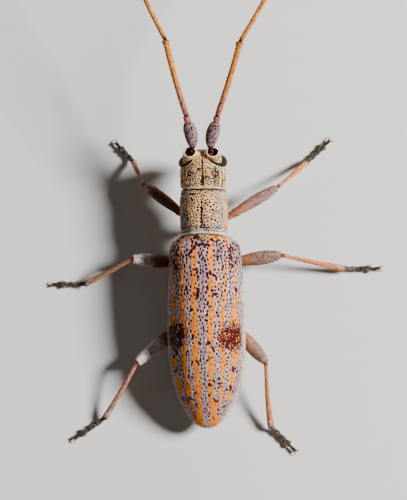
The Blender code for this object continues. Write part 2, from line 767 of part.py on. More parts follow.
def build_leg(segment, side):
    leg = "%s_%s" % (segment, side)
    gap = JOINT_GAP / MM
    _, knee, ankle, tip = leg_joints(segment, side)
    add_coxa("coxa_" + leg, side, segment, 0.0)

    points, _, knee_normal = femur_path(segment, side)
    add_part("femur_" + leg, loft(femur_rings(segment, side, 0.0)), "femur_shell",
             tuple(points[0]))

    down = (ankle - knee).normalized()
    heading = Vector((tip.x - ankle.x, tip.y - ankle.y, 0.0)).normalized()
    ankle_normal = (down + heading).normalized()
    tibia_start = knee + down * gap / 2
    tibia_end = ankle - down * gap / 2
    points = [tibia_start.lerp(tibia_end, share) for share in TIBIA_SHARES]
    rings = tube_rings(points, TIBIA_RADII, LIMB_SIDES, knee_normal, ankle_normal,
                       FLOOR_Z + LEAST_SHIN_HEIGHT)
    add_part("tibia_" + leg, loft(rings), "tibia_shell", tuple(knee))

    tarsus_start = ankle + heading * gap / 2
    length = (tip - tarsus_start).length - CLAW_LENGTH * CLAW_TIP[0]
    points = []
    radii = []
    for share, across, tall in TARSUS_RINGS:
        place = tarsus_start + heading * (length * share / TARSUS_RINGS[-1][0])
        place.z = FLOOR_Z + tall * SOLE_SHARE if share > 0 else ankle.z - ANKLE_DROP
        points.append(place)
        radii.append((across, tall))
    rings = tube_rings(points, radii, TARSUS_SIDES, ankle_normal, None, FLOOR_Z)
    tarsus = add_part("tarsus_" + leg, loft(rings), "tarsus_shell", tuple(ankle))
    add_claws(tarsus, points[-1], heading)


def stand_on_origin():
    """An empty carries every part, so that the box of the whole is centred over the origin."""
    bpy.context.view_layer.update()
    corners = [obj.matrix_world @ vert.co for obj in beetle.objects for vert in obj.data.vertices]
    low = [min(corner[axis] for corner in corners) for axis in range(3)]
    high = [max(corner[axis] for corner in corners) for axis in range(3)]
    carrier = bpy.data.objects.new("beetle_place", None)
    carrier.location = (-(low[0] + high[0]) / 2, -(low[1] + high[1]) / 2, -low[2])
    parts = list(beetle.objects)
    beetle.objects.link(carrier)
    for obj in parts:
        obj.parent = carrier


clear_scene()
make_materials()
beetle = bpy.data.collections.new("mulberry_borer")
bpy.context.scene.collection.children.link(beetle)
build_head()
build_mandibles()
pronotum_part = build_pronotum()
build_elytra()
thorax_part, abdomen_part = build_underbody()
raise_front()
cut_leg_beds(pronotum_part, thorax_part, abdomen_part)
for part_side in SIDES:
    build_antenna(part_side)
    for part_segment in COXAE:
        build_leg(part_segment, part_side)
stand_on_origin()
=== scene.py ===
import math
import bmesh
import bpy
import numpy as np
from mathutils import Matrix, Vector, kdtree


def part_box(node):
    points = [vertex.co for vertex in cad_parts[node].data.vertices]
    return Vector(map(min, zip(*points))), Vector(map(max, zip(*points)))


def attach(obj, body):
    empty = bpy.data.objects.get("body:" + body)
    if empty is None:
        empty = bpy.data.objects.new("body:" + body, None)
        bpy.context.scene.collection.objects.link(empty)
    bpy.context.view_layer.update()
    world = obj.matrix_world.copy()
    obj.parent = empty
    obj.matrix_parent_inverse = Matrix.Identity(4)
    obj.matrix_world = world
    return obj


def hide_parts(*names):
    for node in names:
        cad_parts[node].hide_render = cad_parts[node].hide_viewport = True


# A small longhorn beetle seen from above. Everything is modelled in millimetres round a working
# point (x = 0 on the midline, y = 0 behind the pronotum, the head towards -y, the beetle's left
# towards +x) and is brought to metres in the frame when a piece is finished.

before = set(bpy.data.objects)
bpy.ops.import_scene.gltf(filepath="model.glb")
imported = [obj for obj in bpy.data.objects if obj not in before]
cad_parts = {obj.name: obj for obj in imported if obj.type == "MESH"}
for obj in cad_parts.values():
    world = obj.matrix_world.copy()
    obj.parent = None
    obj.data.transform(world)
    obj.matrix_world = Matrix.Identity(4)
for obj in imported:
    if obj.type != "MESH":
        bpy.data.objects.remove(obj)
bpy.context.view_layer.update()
mm = 0.001
pronotumLow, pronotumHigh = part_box("pronotum")
standHeight = 0.25     # working level above the ground
place = np.array([(pronotumLow[0] + pronotumHigh[0]) / 2,
                  pronotumHigh[1] + 0.1 * mm, standHeight * mm])
leftAndRight = {"left": 1.0, "right": -1.0}
bodyRise, levelY = 0.11, 2.2      # how the body rises towards the head, and the y that keeps its height


def raised(points):       # where points of the body go when its front is raised
    points = np.array(points, float)
    points[..., 2] += bodyRise * (levelY - points[..., 1])
    return points


# Numbers

def along(rows, at):     # smooth lines through rows of (position, value, value...)
    rows = np.array(rows, float)
    x, y = rows[:, 0], rows[:, 1:]
    index = np.arange(len(x))
    before, after = np.maximum(index - 1, 0), np.minimum(index + 1, len(x) - 1)
    slope = (y[after] - y[before]) / (x[after] - x[before])[:, None]
    at = np.clip(np.asarray(at, float), x[0], x[-1])
    i = np.clip(np.searchsorted(x, at, side="right") - 1, 0, len(x) - 2)
    step = (x[i + 1] - x[i])[..., None]
    t = ((at - x[i]) / (x[i + 1] - x[i]))[..., None]
    return ((2 * t ** 3 - 3 * t ** 2 + 1) * y[i] + (t ** 3 - 2 * t ** 2 + t) * step * slope[i]
            + (3 * t ** 2 - 2 * t ** 3) * y[i + 1] + (t ** 3 - t ** 2) * step * slope[i + 1])


def line(rows, at):      # the same with one value a row
    return along(rows, at)[..., 0]


def evenly(rows, count):     # the same for rows without a position, at even steps
    return along([(k, *row) for k, row in enumerate(rows)], np.linspace(0, len(rows) - 1, count))


def clamp(values):
    return np.clip(values, 0, 1)


def most(*masks):
    return np.max(np.broadcast_arrays(*masks), axis=0)


def bell(x, at, width):
    return np.exp(-((x - at) / width) ** 2)


def ease(x, low, high):
    t = clamp((x - low) / (high - low))
    return t * t * (3 - 2 * t)


def rounded(share, start, reach, least=0.001):   # a girth of 1 that closes like a ball past the start
    return np.sqrt(np.clip(1 - (np.maximum(share - start, 0) / reach) ** 2, least, 1))


def turns(count, offset=0.0):        # angles once round
    return 2 * np.pi * (np.arange(count) + offset) / count


def squared(angle, squareness):      # cosine and sine of a circle, pressed towards a square above 2
    return tuple(np.sign(wave) * np.abs(wave) ** (2 / squareness)
                 for wave in (np.cos(angle), np.sin(angle)))


def flatPoints(u, v):
    return np.stack((u, v, u * 0), 1)


def mapRound(across, height, share):     # where the hairs' patches lie: round a body and along it
    return flatPoints(np.arctan2(across, height) / 6.4 + 0.5, share)


def unit(vectors):
    return vectors / np.maximum(np.linalg.norm(vectors, axis=-1, keepdims=True), 1e-12)


def grain(points, size, seed):     # smooth random values from -1 to 1, the same on every run
    p = np.asarray(points) / size + seed * 7.31
    cell = np.floor(p)
    t = p - cell
    t = t * t * (3 - 2 * t)
    total = np.zeros(len(p))
    for corner in range(8):
        step = np.array([corner & 1, corner >> 1 & 1, corner >> 2])
        hashed = np.sin((cell + step) @ np.array([12.9898, 78.233, 37.719]) + seed) * 43758.5453
        total += (2 * (hashed - np.floor(hashed)) - 1) * np.prod(np.where(step, t, 1 - t), axis=1)
    return total


def spots(points, size, seed, low, high):      # 0 where the grain is under low, 1 where it is over high
    return ease(grain(points, size, seed), low, high)


# Shapes: points and faces, in millimetres

def gridFaces(rows, columns, around=True):
    i = np.arange(rows - 1)[:, None] * columns
    j = np.arange(columns if around else columns - 1)[None, :]
    k = (j + 1) % columns
    return np.stack(np.broadcast_arrays(i + j, i + k, i + k + columns, i + j + columns),
                    -1).reshape(-1, 4).tolist()


def loft(rings):         # a closed body through rings of points
    rows, columns = rings.shape[:2]
    points = np.concatenate((rings.reshape(-1, 3), rings[:1].mean(1), rings[-1:].mean(1)))
    faces = gridFaces(rows, columns)
    last, base = (rows - 1) * columns, rows * columns
    for j in range(columns):
        k = (j + 1) % columns
        faces.append((base, k, j))
        faces.append((base + 1, last + j, last + k))
    return points, faces


def tubeRings(path, wide, tall, sides, up=(0, 0, 1), squareness=2.0):
    direction = unit(np.gradient(path, axis=0))
    level = unit(np.cross(direction, np.array(up, float)))
    upright = np.cross(level, direction)
    cosine, sine = squared(turns(sides, 0.5), squareness)
    wide, tall = (np.broadcast_to(np.asarray(v, float), len(path)) for v in (wide, tall))
    return (path[:, None] + level[:, None] * (wide[:, None] * cosine)[..., None]
            + upright[:, None] * (tall[:, None] * sine)[..., None])


def merge(shapes):
    points, faces, count = [], [], 0
    for shapePoints, shapeFaces in shapes:
        points.append(np.asarray(shapePoints))
        faces += [tuple(v + count for v in face) for face in shapeFaces]
        count += len(shapePoints)
    return np.concatenate(points), faces


def makeMesh(name, shape):
    mesh = bpy.data.meshes.new(name)
    mesh.from_pydata(np.asarray(shape[0]).tolist(), [], shape[1])
    body = bmesh.new()
    body.from_mesh(mesh)
    bmesh.ops.recalc_face_normals(body, faces=body.faces)
    body.to_mesh(mesh)
    body.free()
    return mesh


def addObject(name, data):
    made = bpy.data.objects.new(name, data)
    bpy.context.scene.collection.objects.link(made)
    return made


def applied(mesh, addModifiers):     # the mesh with modifiers made real
    holder = addObject("holder", mesh)
    addModifiers(holder)
    bpy.context.view_layer.update()
    result = bpy.data.meshes.new_from_object(
        holder.evaluated_get(bpy.context.evaluated_depsgraph_get()))
    holder.modifiers.clear()
    bpy.data.objects.remove(holder)
    return result


def fuse(name, shapes, voxel, smoothing):     # closed bodies grown together into one skin
    def addModifiers(holder):
        remesh = holder.modifiers.new("remesh", "REMESH")
        remesh.mode = "VOXEL"
        remesh.voxel_size = voxel
        smooth = holder.modifiers.new("smooth", "SMOOTH")
        smooth.iterations = smoothing
    mesh = applied(makeMesh(name, merge(shapes)), addModifiers)
    mesh.name = name
    return mesh


def readPoints(mesh, what="co"):
    values = np.empty(len(mesh.vertices) * 3)
    mesh.vertices.foreach_get(what, values)
    return values.reshape(-1, 3)


def writePoints(mesh, points):
    mesh.vertices.foreach_set("co", np.asarray(points, float).ravel())
    mesh.update()


def paint(mesh, **values):           # one attribute a name, a number or a vector at each point
    for name, value in values.items():
        vector = np.ndim(value) == 2
        layer = mesh.attributes.new(name, "FLOAT_VECTOR" if vector else "FLOAT", "POINT")
        full = np.broadcast_to(value, (len(mesh.vertices), 3)[:1 + vector])
        layer.data.foreach_set("vector" if vector else "value", full.astype(np.float32).ravel())


def scatterPits(points, spacing, seed, count=16000):   # chosen points no closer than the spacing
    order = np.random.default_rng(seed).permutation(len(points))[:count]
    cell = float(spacing.max())
    taken, chosen = {}, []
    for i in order:
        p = points[i]
        key = tuple(np.floor(p / cell).astype(int))
        near = (taken.get((key[0] + a, key[1] + b, key[2] + c), ())
                for a in (-1, 0, 1) for b in (-1, 0, 1) for c in (-1, 0, 1))
        limit = spacing[i] ** 2
        if all(((p - q) ** 2).sum() > limit for group in near for q in group):
            taken.setdefault(key, []).append(p)
            chosen.append(i)
    return np.array(chosen)


def nearest(points, targets):        # how far each point is from its nearest target, and which it is
    tree = kdtree.KDTree(len(targets))
    for k, target in enumerate(targets):
        tree.insert(target, k)
    tree.balance()
    found = [tree.find(p) for p in points]
    return np.array([f[2] for f in found]), np.array([f[1] for f in found])


def punch(mesh, spacing, radius, depth, seed, oval=(1, 1, 1)):     # sinks pits, says where they are
    points, normals = readPoints(mesh), readPoints(mesh, "normal")
    spacing, radius = (np.broadcast_to(v, len(points)) for v in (spacing, radius))
    chosen = scatterPits(points, spacing, seed)
    vary = np.random.default_rng(seed + 1).uniform(0.75, 1.2, len(chosen))
    mouths = radius[chosen] * vary
    away, which = nearest(points * oval, points[chosen] * oval)
    hollow = clamp(1 - (away / mouths[which]) ** 2)
    writePoints(mesh, points - normals * (depth * hollow ** 0.7)[:, None])
    brim = bell(away / mouths[which], 1.25, 0.28)
    return ease(hollow, 0.0, 0.45), (points[chosen], mouths), brim


def clearOf(points, lie, length, pits):     # 0 where a hair rooted there would lie over a pit
    centres, mouths = pits
    clear = np.ones(len(points))
    for share in (0.05, 0.5, 0.9):
        away, which = nearest(points + unit(lie) * length * share, centres)
        clear = np.minimum(clear, ease(away, mouths[which] * 0.8, mouths[which] * 1.1))
    return clear


def finishPiece(name, mesh, material, nodes, onBody=True):
    points = readPoints(mesh)
    writePoints(mesh, (raised(points) if onBody else points) * mm + place)
    mesh.name = name
    mesh.materials.clear()
    mesh.materials.append(material)
    mesh.shade_smooth()
    piece = addObject(name, mesh)
    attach(piece, "root")
    if nodes:
        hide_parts(*nodes)
    return piece


# Node trees

class Wire:              # a socket in a node tree that can be calculated with
    def __init__(self, tree, socket=None):
        self.tree, self.socket = tree, socket

    def node(self, kind, settings, inputs, output=0):
        made = self.tree.nodes.new(kind)
        for key, value in settings.items():
            if key == "stops":
                ramp = made.color_ramp.elements
                while len(ramp) < len(value):
                    ramp.new(0.5)
                for stop, (at, colour) in zip(ramp, value):
                    stop.position, stop.color = at, (*colour, 1)
            else:
                setattr(made, key, value)
        for key, value in inputs.items():
            if isinstance(value, Wire):
                self.tree.links.new(value.socket, made.inputs[key])
            else:
                made.inputs[key].default_value = value
        return Wire(self.tree, made.outputs[output])

    def sum(self, operation, a, b):
        return self.node("ShaderNodeMath", {"operation": operation}, {0: a, 1: b})

    def __add__(self, other):
        return self.sum("ADD", self, other)

    __radd__ = __add__

    def __sub__(self, other):
        return self.sum("SUBTRACT", self, other)

    def __rsub__(self, other):
        return self.sum("SUBTRACT", other, self)

    def __mul__(self, other):
        return self.sum("MULTIPLY", self, other)

    __rmul__ = __mul__

    def __truediv__(self, other):
        return self.sum("DIVIDE", self, other)

    def __rtruediv__(self, other):
        return self.sum("DIVIDE", other, self)

    def part(self, axis):            # 0, 1 or 2 for x, y or z
        return self.node("ShaderNodeSeparateXYZ", {}, {0: self}, axis)

    def between(self, low, high):    # 0 below low, 1 above high, eased
        return self.node("ShaderNodeMapRange", {"interpolation_type": "SMOOTHSTEP"},
                         {"Value": self, "From Min": low, "From Max": high})

    def blend(self, first, second):  # the first colour at 0, the second at 1
        first, second = ((*c, 1) if isinstance(c, tuple) else c for c in (first, second))
        return self.node("ShaderNodeMix", {"data_type": "RGBA"}, {0: self, 6: first, 7: second}, 2)

    def stretched(self, scale):
        return self.node("ShaderNodeVectorMath", {"operation": "MULTIPLY"}, {0: self, 1: scale})

    def bump(self, strength, depth):     # depth in mm
        return self.node("ShaderNodeBump", {}, {"Height": self, "Strength": strength,
                                                "Distance": depth * mm})

    def noise(self, scale, detail=2.0, roughness=0.5):
        return self.node("ShaderNodeTexNoise", {}, {"Vector": self.stretched(scale), "Scale": 1.0,
                                                    "Detail": detail, "Roughness": roughness})


def srgb(red, green, blue):          # a colour as it is read off a picture, 0 to 255
    return tuple((v / 255 / 12.92) if v < 11 else ((v / 255 + 0.055) / 1.055) ** 2.4
                 for v in (red, green, blue))


def newMaterial(name):
    material = bpy.data.materials.new(name)
    material.use_nodes = True
    return material, Wire(material.node_tree), material.node_tree.nodes["Principled BSDF"]


def feed(shell, wires, constants):   # fills the shader's sockets
    for name, wire in wires.items():
        wire.tree.links.new(wire.socket, shell.inputs[name])
    for name, value in constants.items():
        shell.inputs[name].default_value = value


def readPaint(wire, name, output=2):
    return wire.node("ShaderNodeAttribute", {"attribute_name": name}, {}, output)


def coloured(look):                  # the look with its colours made the renderer's
    return {key: srgb(*value) if isinstance(value, tuple) else value for key, value in look.items()}


bodyDown = {             # the down's finish on the wing cases; the other parts change some of it
    "greyDark": (106, 74, 80), "greyLight": (202, 181, 180), "pale": (238, 220, 198),
    "ochreDark": (188, 100, 24), "ochreLight": (248, 158, 62),
    "shell": (96, 34, 40), "shellDark": (50, 14, 18), "hole": (74, 10, 14), "holeDark": (34, 4, 7),
    "thin": 0.29, "cover": 0.94, "rough": 0.72, "holeRough": 0.65, "relief": 0.5, "reliefDepth": 0.012,
    "shine": 0.07,
}


def downMaterial(name, changes):     # short down that lies flat on a dark shell
    look = coloured(dict(bodyDown, **changes))
    material, wire, shell = newMaterial(name)
    run = readPaint(wire, "run", 1)
    ochre, bare, pale, tone = (readPaint(wire, key) for key in ("ochre", "bare", "pale", "tone"))
    strands = run.noise((52, 8, 52), 2.0, 0.6)
    clumps = run.noise((9, 3.5, 9), 3.0, 0.55)
    mottle = run.noise((24, 17, 24), 2.0, 0.5)
    shade = (strands * 0.65 + clumps * 0.35).between(0.32, 0.68)
    grey = shade.blend(look["greyDark"], look["greyLight"])
    fine = run.noise((38, 26, 38), 1.0).between(0.26, 0.44)
    gold = (shade * (fine * 0.5 + 0.5)).blend(look["ochreDark"], look["ochreLight"])
    down = ochre.between(0.15, 0.8).blend(grey, gold)
    down = (pale * shade).between(0.1, 0.8).blend(down, look["pale"])
    cover = ((strands * 0.5 + mottle * 0.5).between(look["thin"], look["thin"] + 0.2)
             * look["cover"] + (1 - look["cover"]) * ochre + pale * 0.3)
    skin = mottle.between(0.35, 0.65).blend(look["shellDark"], look["shell"])
    colour = tone.blend(cover.blend(skin, down), skin)
    hole = (bare + (clumps - 0.5) * 0.3).between(0.2, 0.6)
    colour = hole.blend(colour, mottle.between(0.3, 0.7).blend(look["holeDark"], look["hole"]))
    height = strands * 0.7 + clumps * 0.5 - hole * 0.4
    feed(shell, {"Base Color": colour,
                 "Roughness": hole * (look["holeRough"] - look["rough"]) + look["rough"],
                 "Normal": height.bump(look["relief"], look["reliefDepth"])},
         {"Specular IOR Level": look["shine"]})
    return material


def shellMaterial(name, look):       # bare horny shell
    look = coloured(look)
    material, wire, shell = newMaterial(name)
    run, tone = readPaint(wire, "run", 1), readPaint(wire, "tone")
    cloud, fine = run.noise((6, 5, 6), 3.0), run.noise((60, 40, 60), 2.0)
    clouded = (tone * 0.7 + cloud * 0.5).between(0.1, 0.9)
    feed(shell, {"Base Color": clouded.blend(look["light"], look["dark"]),
                 "Roughness": fine * 0.2 + look["rough"],
                 "Normal": (fine * 0.6 + cloud).bump(0.4, 0.006)},
         {"Specular IOR Level": look["shine"]})
    return material


# A coat of fine hairs, each a slim closed spike

hairLook = {
    "shortest": 0.55, "longest": 1.15,      # shares of the length
    "mapPatch": 0.0015,                     # size of a hair's own place on the coat's map
}


def coatTree(look):
    tree = bpy.data.node_groups.new("fineHairs", "GeometryNodeTree")
    sockets = {}
    for label, kind, value in (("Skin", "Geometry", None), ("Hairs per mm2", "Float", 100.0),
                               ("Length", "Float", 0.1), ("Thickness", "Float", 0.006),
                               ("Lift", "Float", 0.3), ("Disorder", "Float", 0.2),
                               ("Seed", "Int", 0), ("Finish", "Material", None)):
        sockets[label] = tree.interface.new_socket(label, in_out="INPUT",
                                                   socket_type="NodeSocket" + kind)
        if value is not None:
            sockets[label].default_value = value
    tree.interface.new_socket("Coat", in_out="OUTPUT", socket_type="NodeSocketGeometry")
    start = tree.nodes.new("NodeGroupInput")
    given = {label: Wire(tree, start.outputs[label]) for label in sockets}
    wire = Wire(tree)

    def named(attribute, kind, output=0):
        return wire.node("GeometryNodeInputNamedAttribute", {"data_type": kind},
                         {"Name": attribute}, output)

    def vectorMath(operation, a, b=None, scale=None):
        inputs = {0: a}
        if b is not None:
            inputs[1] = b
        if scale is not None:
            inputs["Scale"] = scale
        return wire.node("ShaderNodeVectorMath", {"operation": operation}, inputs)

    density = given["Hairs per mm2"] * named("thick", "FLOAT")
    scatter = tree.nodes.new("GeometryNodeDistributePointsOnFaces")
    tree.links.new(given["Skin"].socket, scatter.inputs["Mesh"])
    tree.links.new(density.socket, scatter.inputs["Density"])
    tree.links.new(given["Seed"].socket, scatter.inputs["Seed"])
    roots, normal = Wire(tree, scatter.outputs["Points"]), Wire(tree, scatter.outputs["Normal"])
    stray = wire.node("FunctionNodeRandomValue", {"data_type": "FLOAT_VECTOR"},
                      {0: (-1, -1, -1), 1: (1, 1, 1), "Seed": given["Seed"]})
    lean = vectorMath("ADD", vectorMath("NORMALIZE", named("lie", "FLOAT_VECTOR")),
                      vectorMath("SCALE", normal, scale=given["Lift"]))
    lean = vectorMath("ADD", lean, vectorMath("SCALE", stray, scale=given["Disorder"]))
    turn = wire.node("FunctionNodeAlignRotationToVector", {"axis": "Z"}, {"Vector": lean})
    size = wire.node("FunctionNodeRandomValue", {"data_type": "FLOAT"},
                     {2: look["shortest"], 3: look["longest"], "Seed": given["Seed"]}, 1)
    spike = wire.node("GeometryNodeMeshCone", {"fill_type": "NGON"},
                      {"Vertices": 3, "Radius Top": 0.0, "Radius Bottom": given["Thickness"],
                       "Depth": given["Length"]})
    onSpike = wire.node("GeometryNodeInputPosition", {}, {})
    patch = wire.node("ShaderNodeCombineXYZ", {}, {0: onSpike.part(0) / given["Thickness"],
                                                   1: onSpike.part(2) / given["Length"]})
    spike = wire.node("GeometryNodeStoreNamedAttribute", {"data_type": "FLOAT_VECTOR", "domain": "POINT"},
                      {"Geometry": spike, "Name": "patch", "Value": patch})
    coat = wire.node("GeometryNodeInstanceOnPoints", {},
                     {"Points": roots, "Instance": spike, "Rotation": turn, "Scale": size})
    coat = wire.node("GeometryNodeRealizeInstances", {}, {"Geometry": coat})
    spot = vectorMath("ADD", named("rootMap", "FLOAT_VECTOR"),
                      vectorMath("SCALE", named("patch", "FLOAT_VECTOR"), scale=look["mapPatch"]))
    coat = wire.node("GeometryNodeStoreNamedAttribute", {"data_type": "FLOAT2", "domain": "CORNER"},
                     {"Geometry": coat, "Name": "OFBake", "Value": spot})
    coat = wire.node("GeometryNodeSetMaterial", {}, {"Geometry": coat, "Material": given["Finish"]})
    finish = tree.nodes.new("NodeGroupOutput")
    tree.links.new(coat.socket, finish.inputs["Coat"])
    return tree, {label: socket.identifier for label, socket in sockets.items()}


hairTree, hairSockets = coatTree(hairLook)


def growHairs(name, skin, material, seed, perMm2, length, lift, disorder,
              thickness=0.0042, onBody=True):
    def addModifiers(holder):
        modifier = holder.modifiers.new("hairs", "NODES")
        modifier.node_group = hairTree
        for label, value in (("Hairs per mm2", perMm2), ("Length", length), ("Thickness", thickness),
                             ("Lift", lift), ("Disorder", disorder), ("Seed", seed), ("Finish", material)):
            modifier[hairSockets[label]] = value
    mesh = applied(skin.copy(), addModifiers)
    for used in ("patch", "lie", "rootMap", "thick"):
        if used in mesh.attributes:
            mesh.attributes.remove(mesh.attributes[used])
    print("hairs", name, len(mesh.polygons))
    finishPiece(name, mesh, material, (), onBody)


# Camera, light and ground

cameraLook = {
    "target": (0.036, 0.534, 1.9),      # mm from the working point
    "distance": 130.0,                 # mm
    "lean": 5.0,                       # degrees towards the beetle's right
    "tip": 3.0,                        # degrees towards its tail
    "turn": 0.2,                      # degrees in the picture
    "pixelsPerMm": 25.3,               # at the target
    "longSide": 500,                   # pixels
    "sensorWidth": 36,                 # mm
    "nearest": 0.01, "farthest": 2,    # metres
}


def makeCamera(look):
    back = Vector((-math.tan(math.radians(look["lean"])),
                   math.tan(math.radians(look["tip"])), 1)).normalized()
    up = Vector((0, -1, 0))
    up = (up - back * up.dot(back)).normalized()
    right = up.cross(back)
    turn = math.radians(look["turn"])
    right, up = (right * math.cos(turn) - up * math.sin(turn),
                 up * math.cos(turn) + right * math.sin(turn))
    data = bpy.data.cameras.new("camera")
    data.sensor_fit = "AUTO"
    data.sensor_width = look["sensorWidth"]
    data.lens = look["sensorWidth"] * look["pixelsPerMm"] * look["distance"] / look["longSide"]
    data.clip_start, data.clip_end = look["nearest"], look["farthest"]
    camera = addObject("camera", data)
    spot = Vector(place + np.array(look["target"]) * mm) + back * look["distance"] * mm
    matrix = camera.matrix_world.copy()
    for row in range(3):
        matrix[row] = (right[row], up[row], back[row], spot[row])
    camera.matrix_world = matrix
    bpy.context.scene.camera = camera


studio = {
    "keyFrom": (-1.25, -0.2, 1.0),    # direction the main light comes from
    "keyDistance": 0.16, "keySize": 0.04, "keyPower": 0.88,
    "fillFrom": (1.0, 0.25, 0.32), "fillSize": 0.1, "fillPower": 0.024,
    "sky": 0.07, "skyColour": (1.0, 0.87, 0.76),
    "ground": (0.62, 0.61, 0.595), "groundReach": 0.4, "groundGrain": (900, 900, 900),
}


def addLamp(name, origin, distance, size, power):
    data = bpy.data.lights.new(name, "AREA")
    data.shape = "DISK"
    data.size, data.energy = size, power
    lamp = addObject(name, data)
    lamp.location = Vector(origin).normalized() * distance
    lamp.rotation_euler = lamp.location.to_track_quat("Z", "Y").to_euler()


def makeStudio(look):
    addLamp("keyLight", look["keyFrom"], look["keyDistance"], look["keySize"], look["keyPower"])
    addLamp("fillLight", look["fillFrom"], look["keyDistance"], look["fillSize"], look["fillPower"])
    world = bpy.data.worlds.new("sky")
    world.use_nodes = True
    feed(world.node_tree.nodes["Background"], {},
         {"Color": (*look["skyColour"], 1), "Strength": look["sky"]})
    bpy.context.scene.world = world
    ground = bpy.data.meshes.new("ground")
    r = look["groundReach"]
    ground.from_pydata([(-r, -r, 0), (r, -r, 0), (r, r, 0), (-r, r, 0)], [], [(0, 1, 2, 3)])
    paper, wire, shell = newMaterial("paper")
    tooth = wire.node("ShaderNodeTexCoord", {}, {}, "Object").noise(look["groundGrain"], 3.0)
    feed(shell, {"Base Color": tooth.blend(tuple(c * 0.97 for c in look["ground"]), look["ground"])},
         {"Roughness": 0.9, "Specular IOR Level": 0.2})
    ground.materials.append(paper)
    floor = addObject("ground", ground)


makeCamera(cameraLook)
makeStudio(studio)
print("camera and studio")


# Finishes of the body

elytraFinish = downMaterial("elytraDown", {})
headFinish = downMaterial("headDown", {
    "greyDark": (110, 80, 56), "greyLight": (220, 200, 164), "pale": (242, 226, 184),
    "ochreDark": (166, 104, 34), "ochreLight": (246, 180, 86), "hole": (34, 12, 10),
    "holeDark": (15, 5, 6), "shell": (66, 38, 26), "shellDark": (34, 17, 12)})
pronotumFinish = downMaterial("pronotumDown", {
    "greyDark": (104, 78, 80), "greyLight": (204, 187, 174), "pale": (238, 222, 180),
    "ochreDark": (164, 108, 40), "ochreLight": (242, 182, 92), "hole": (46, 10, 12),
    "holeDark": (20, 4, 6)})


# Wing cases

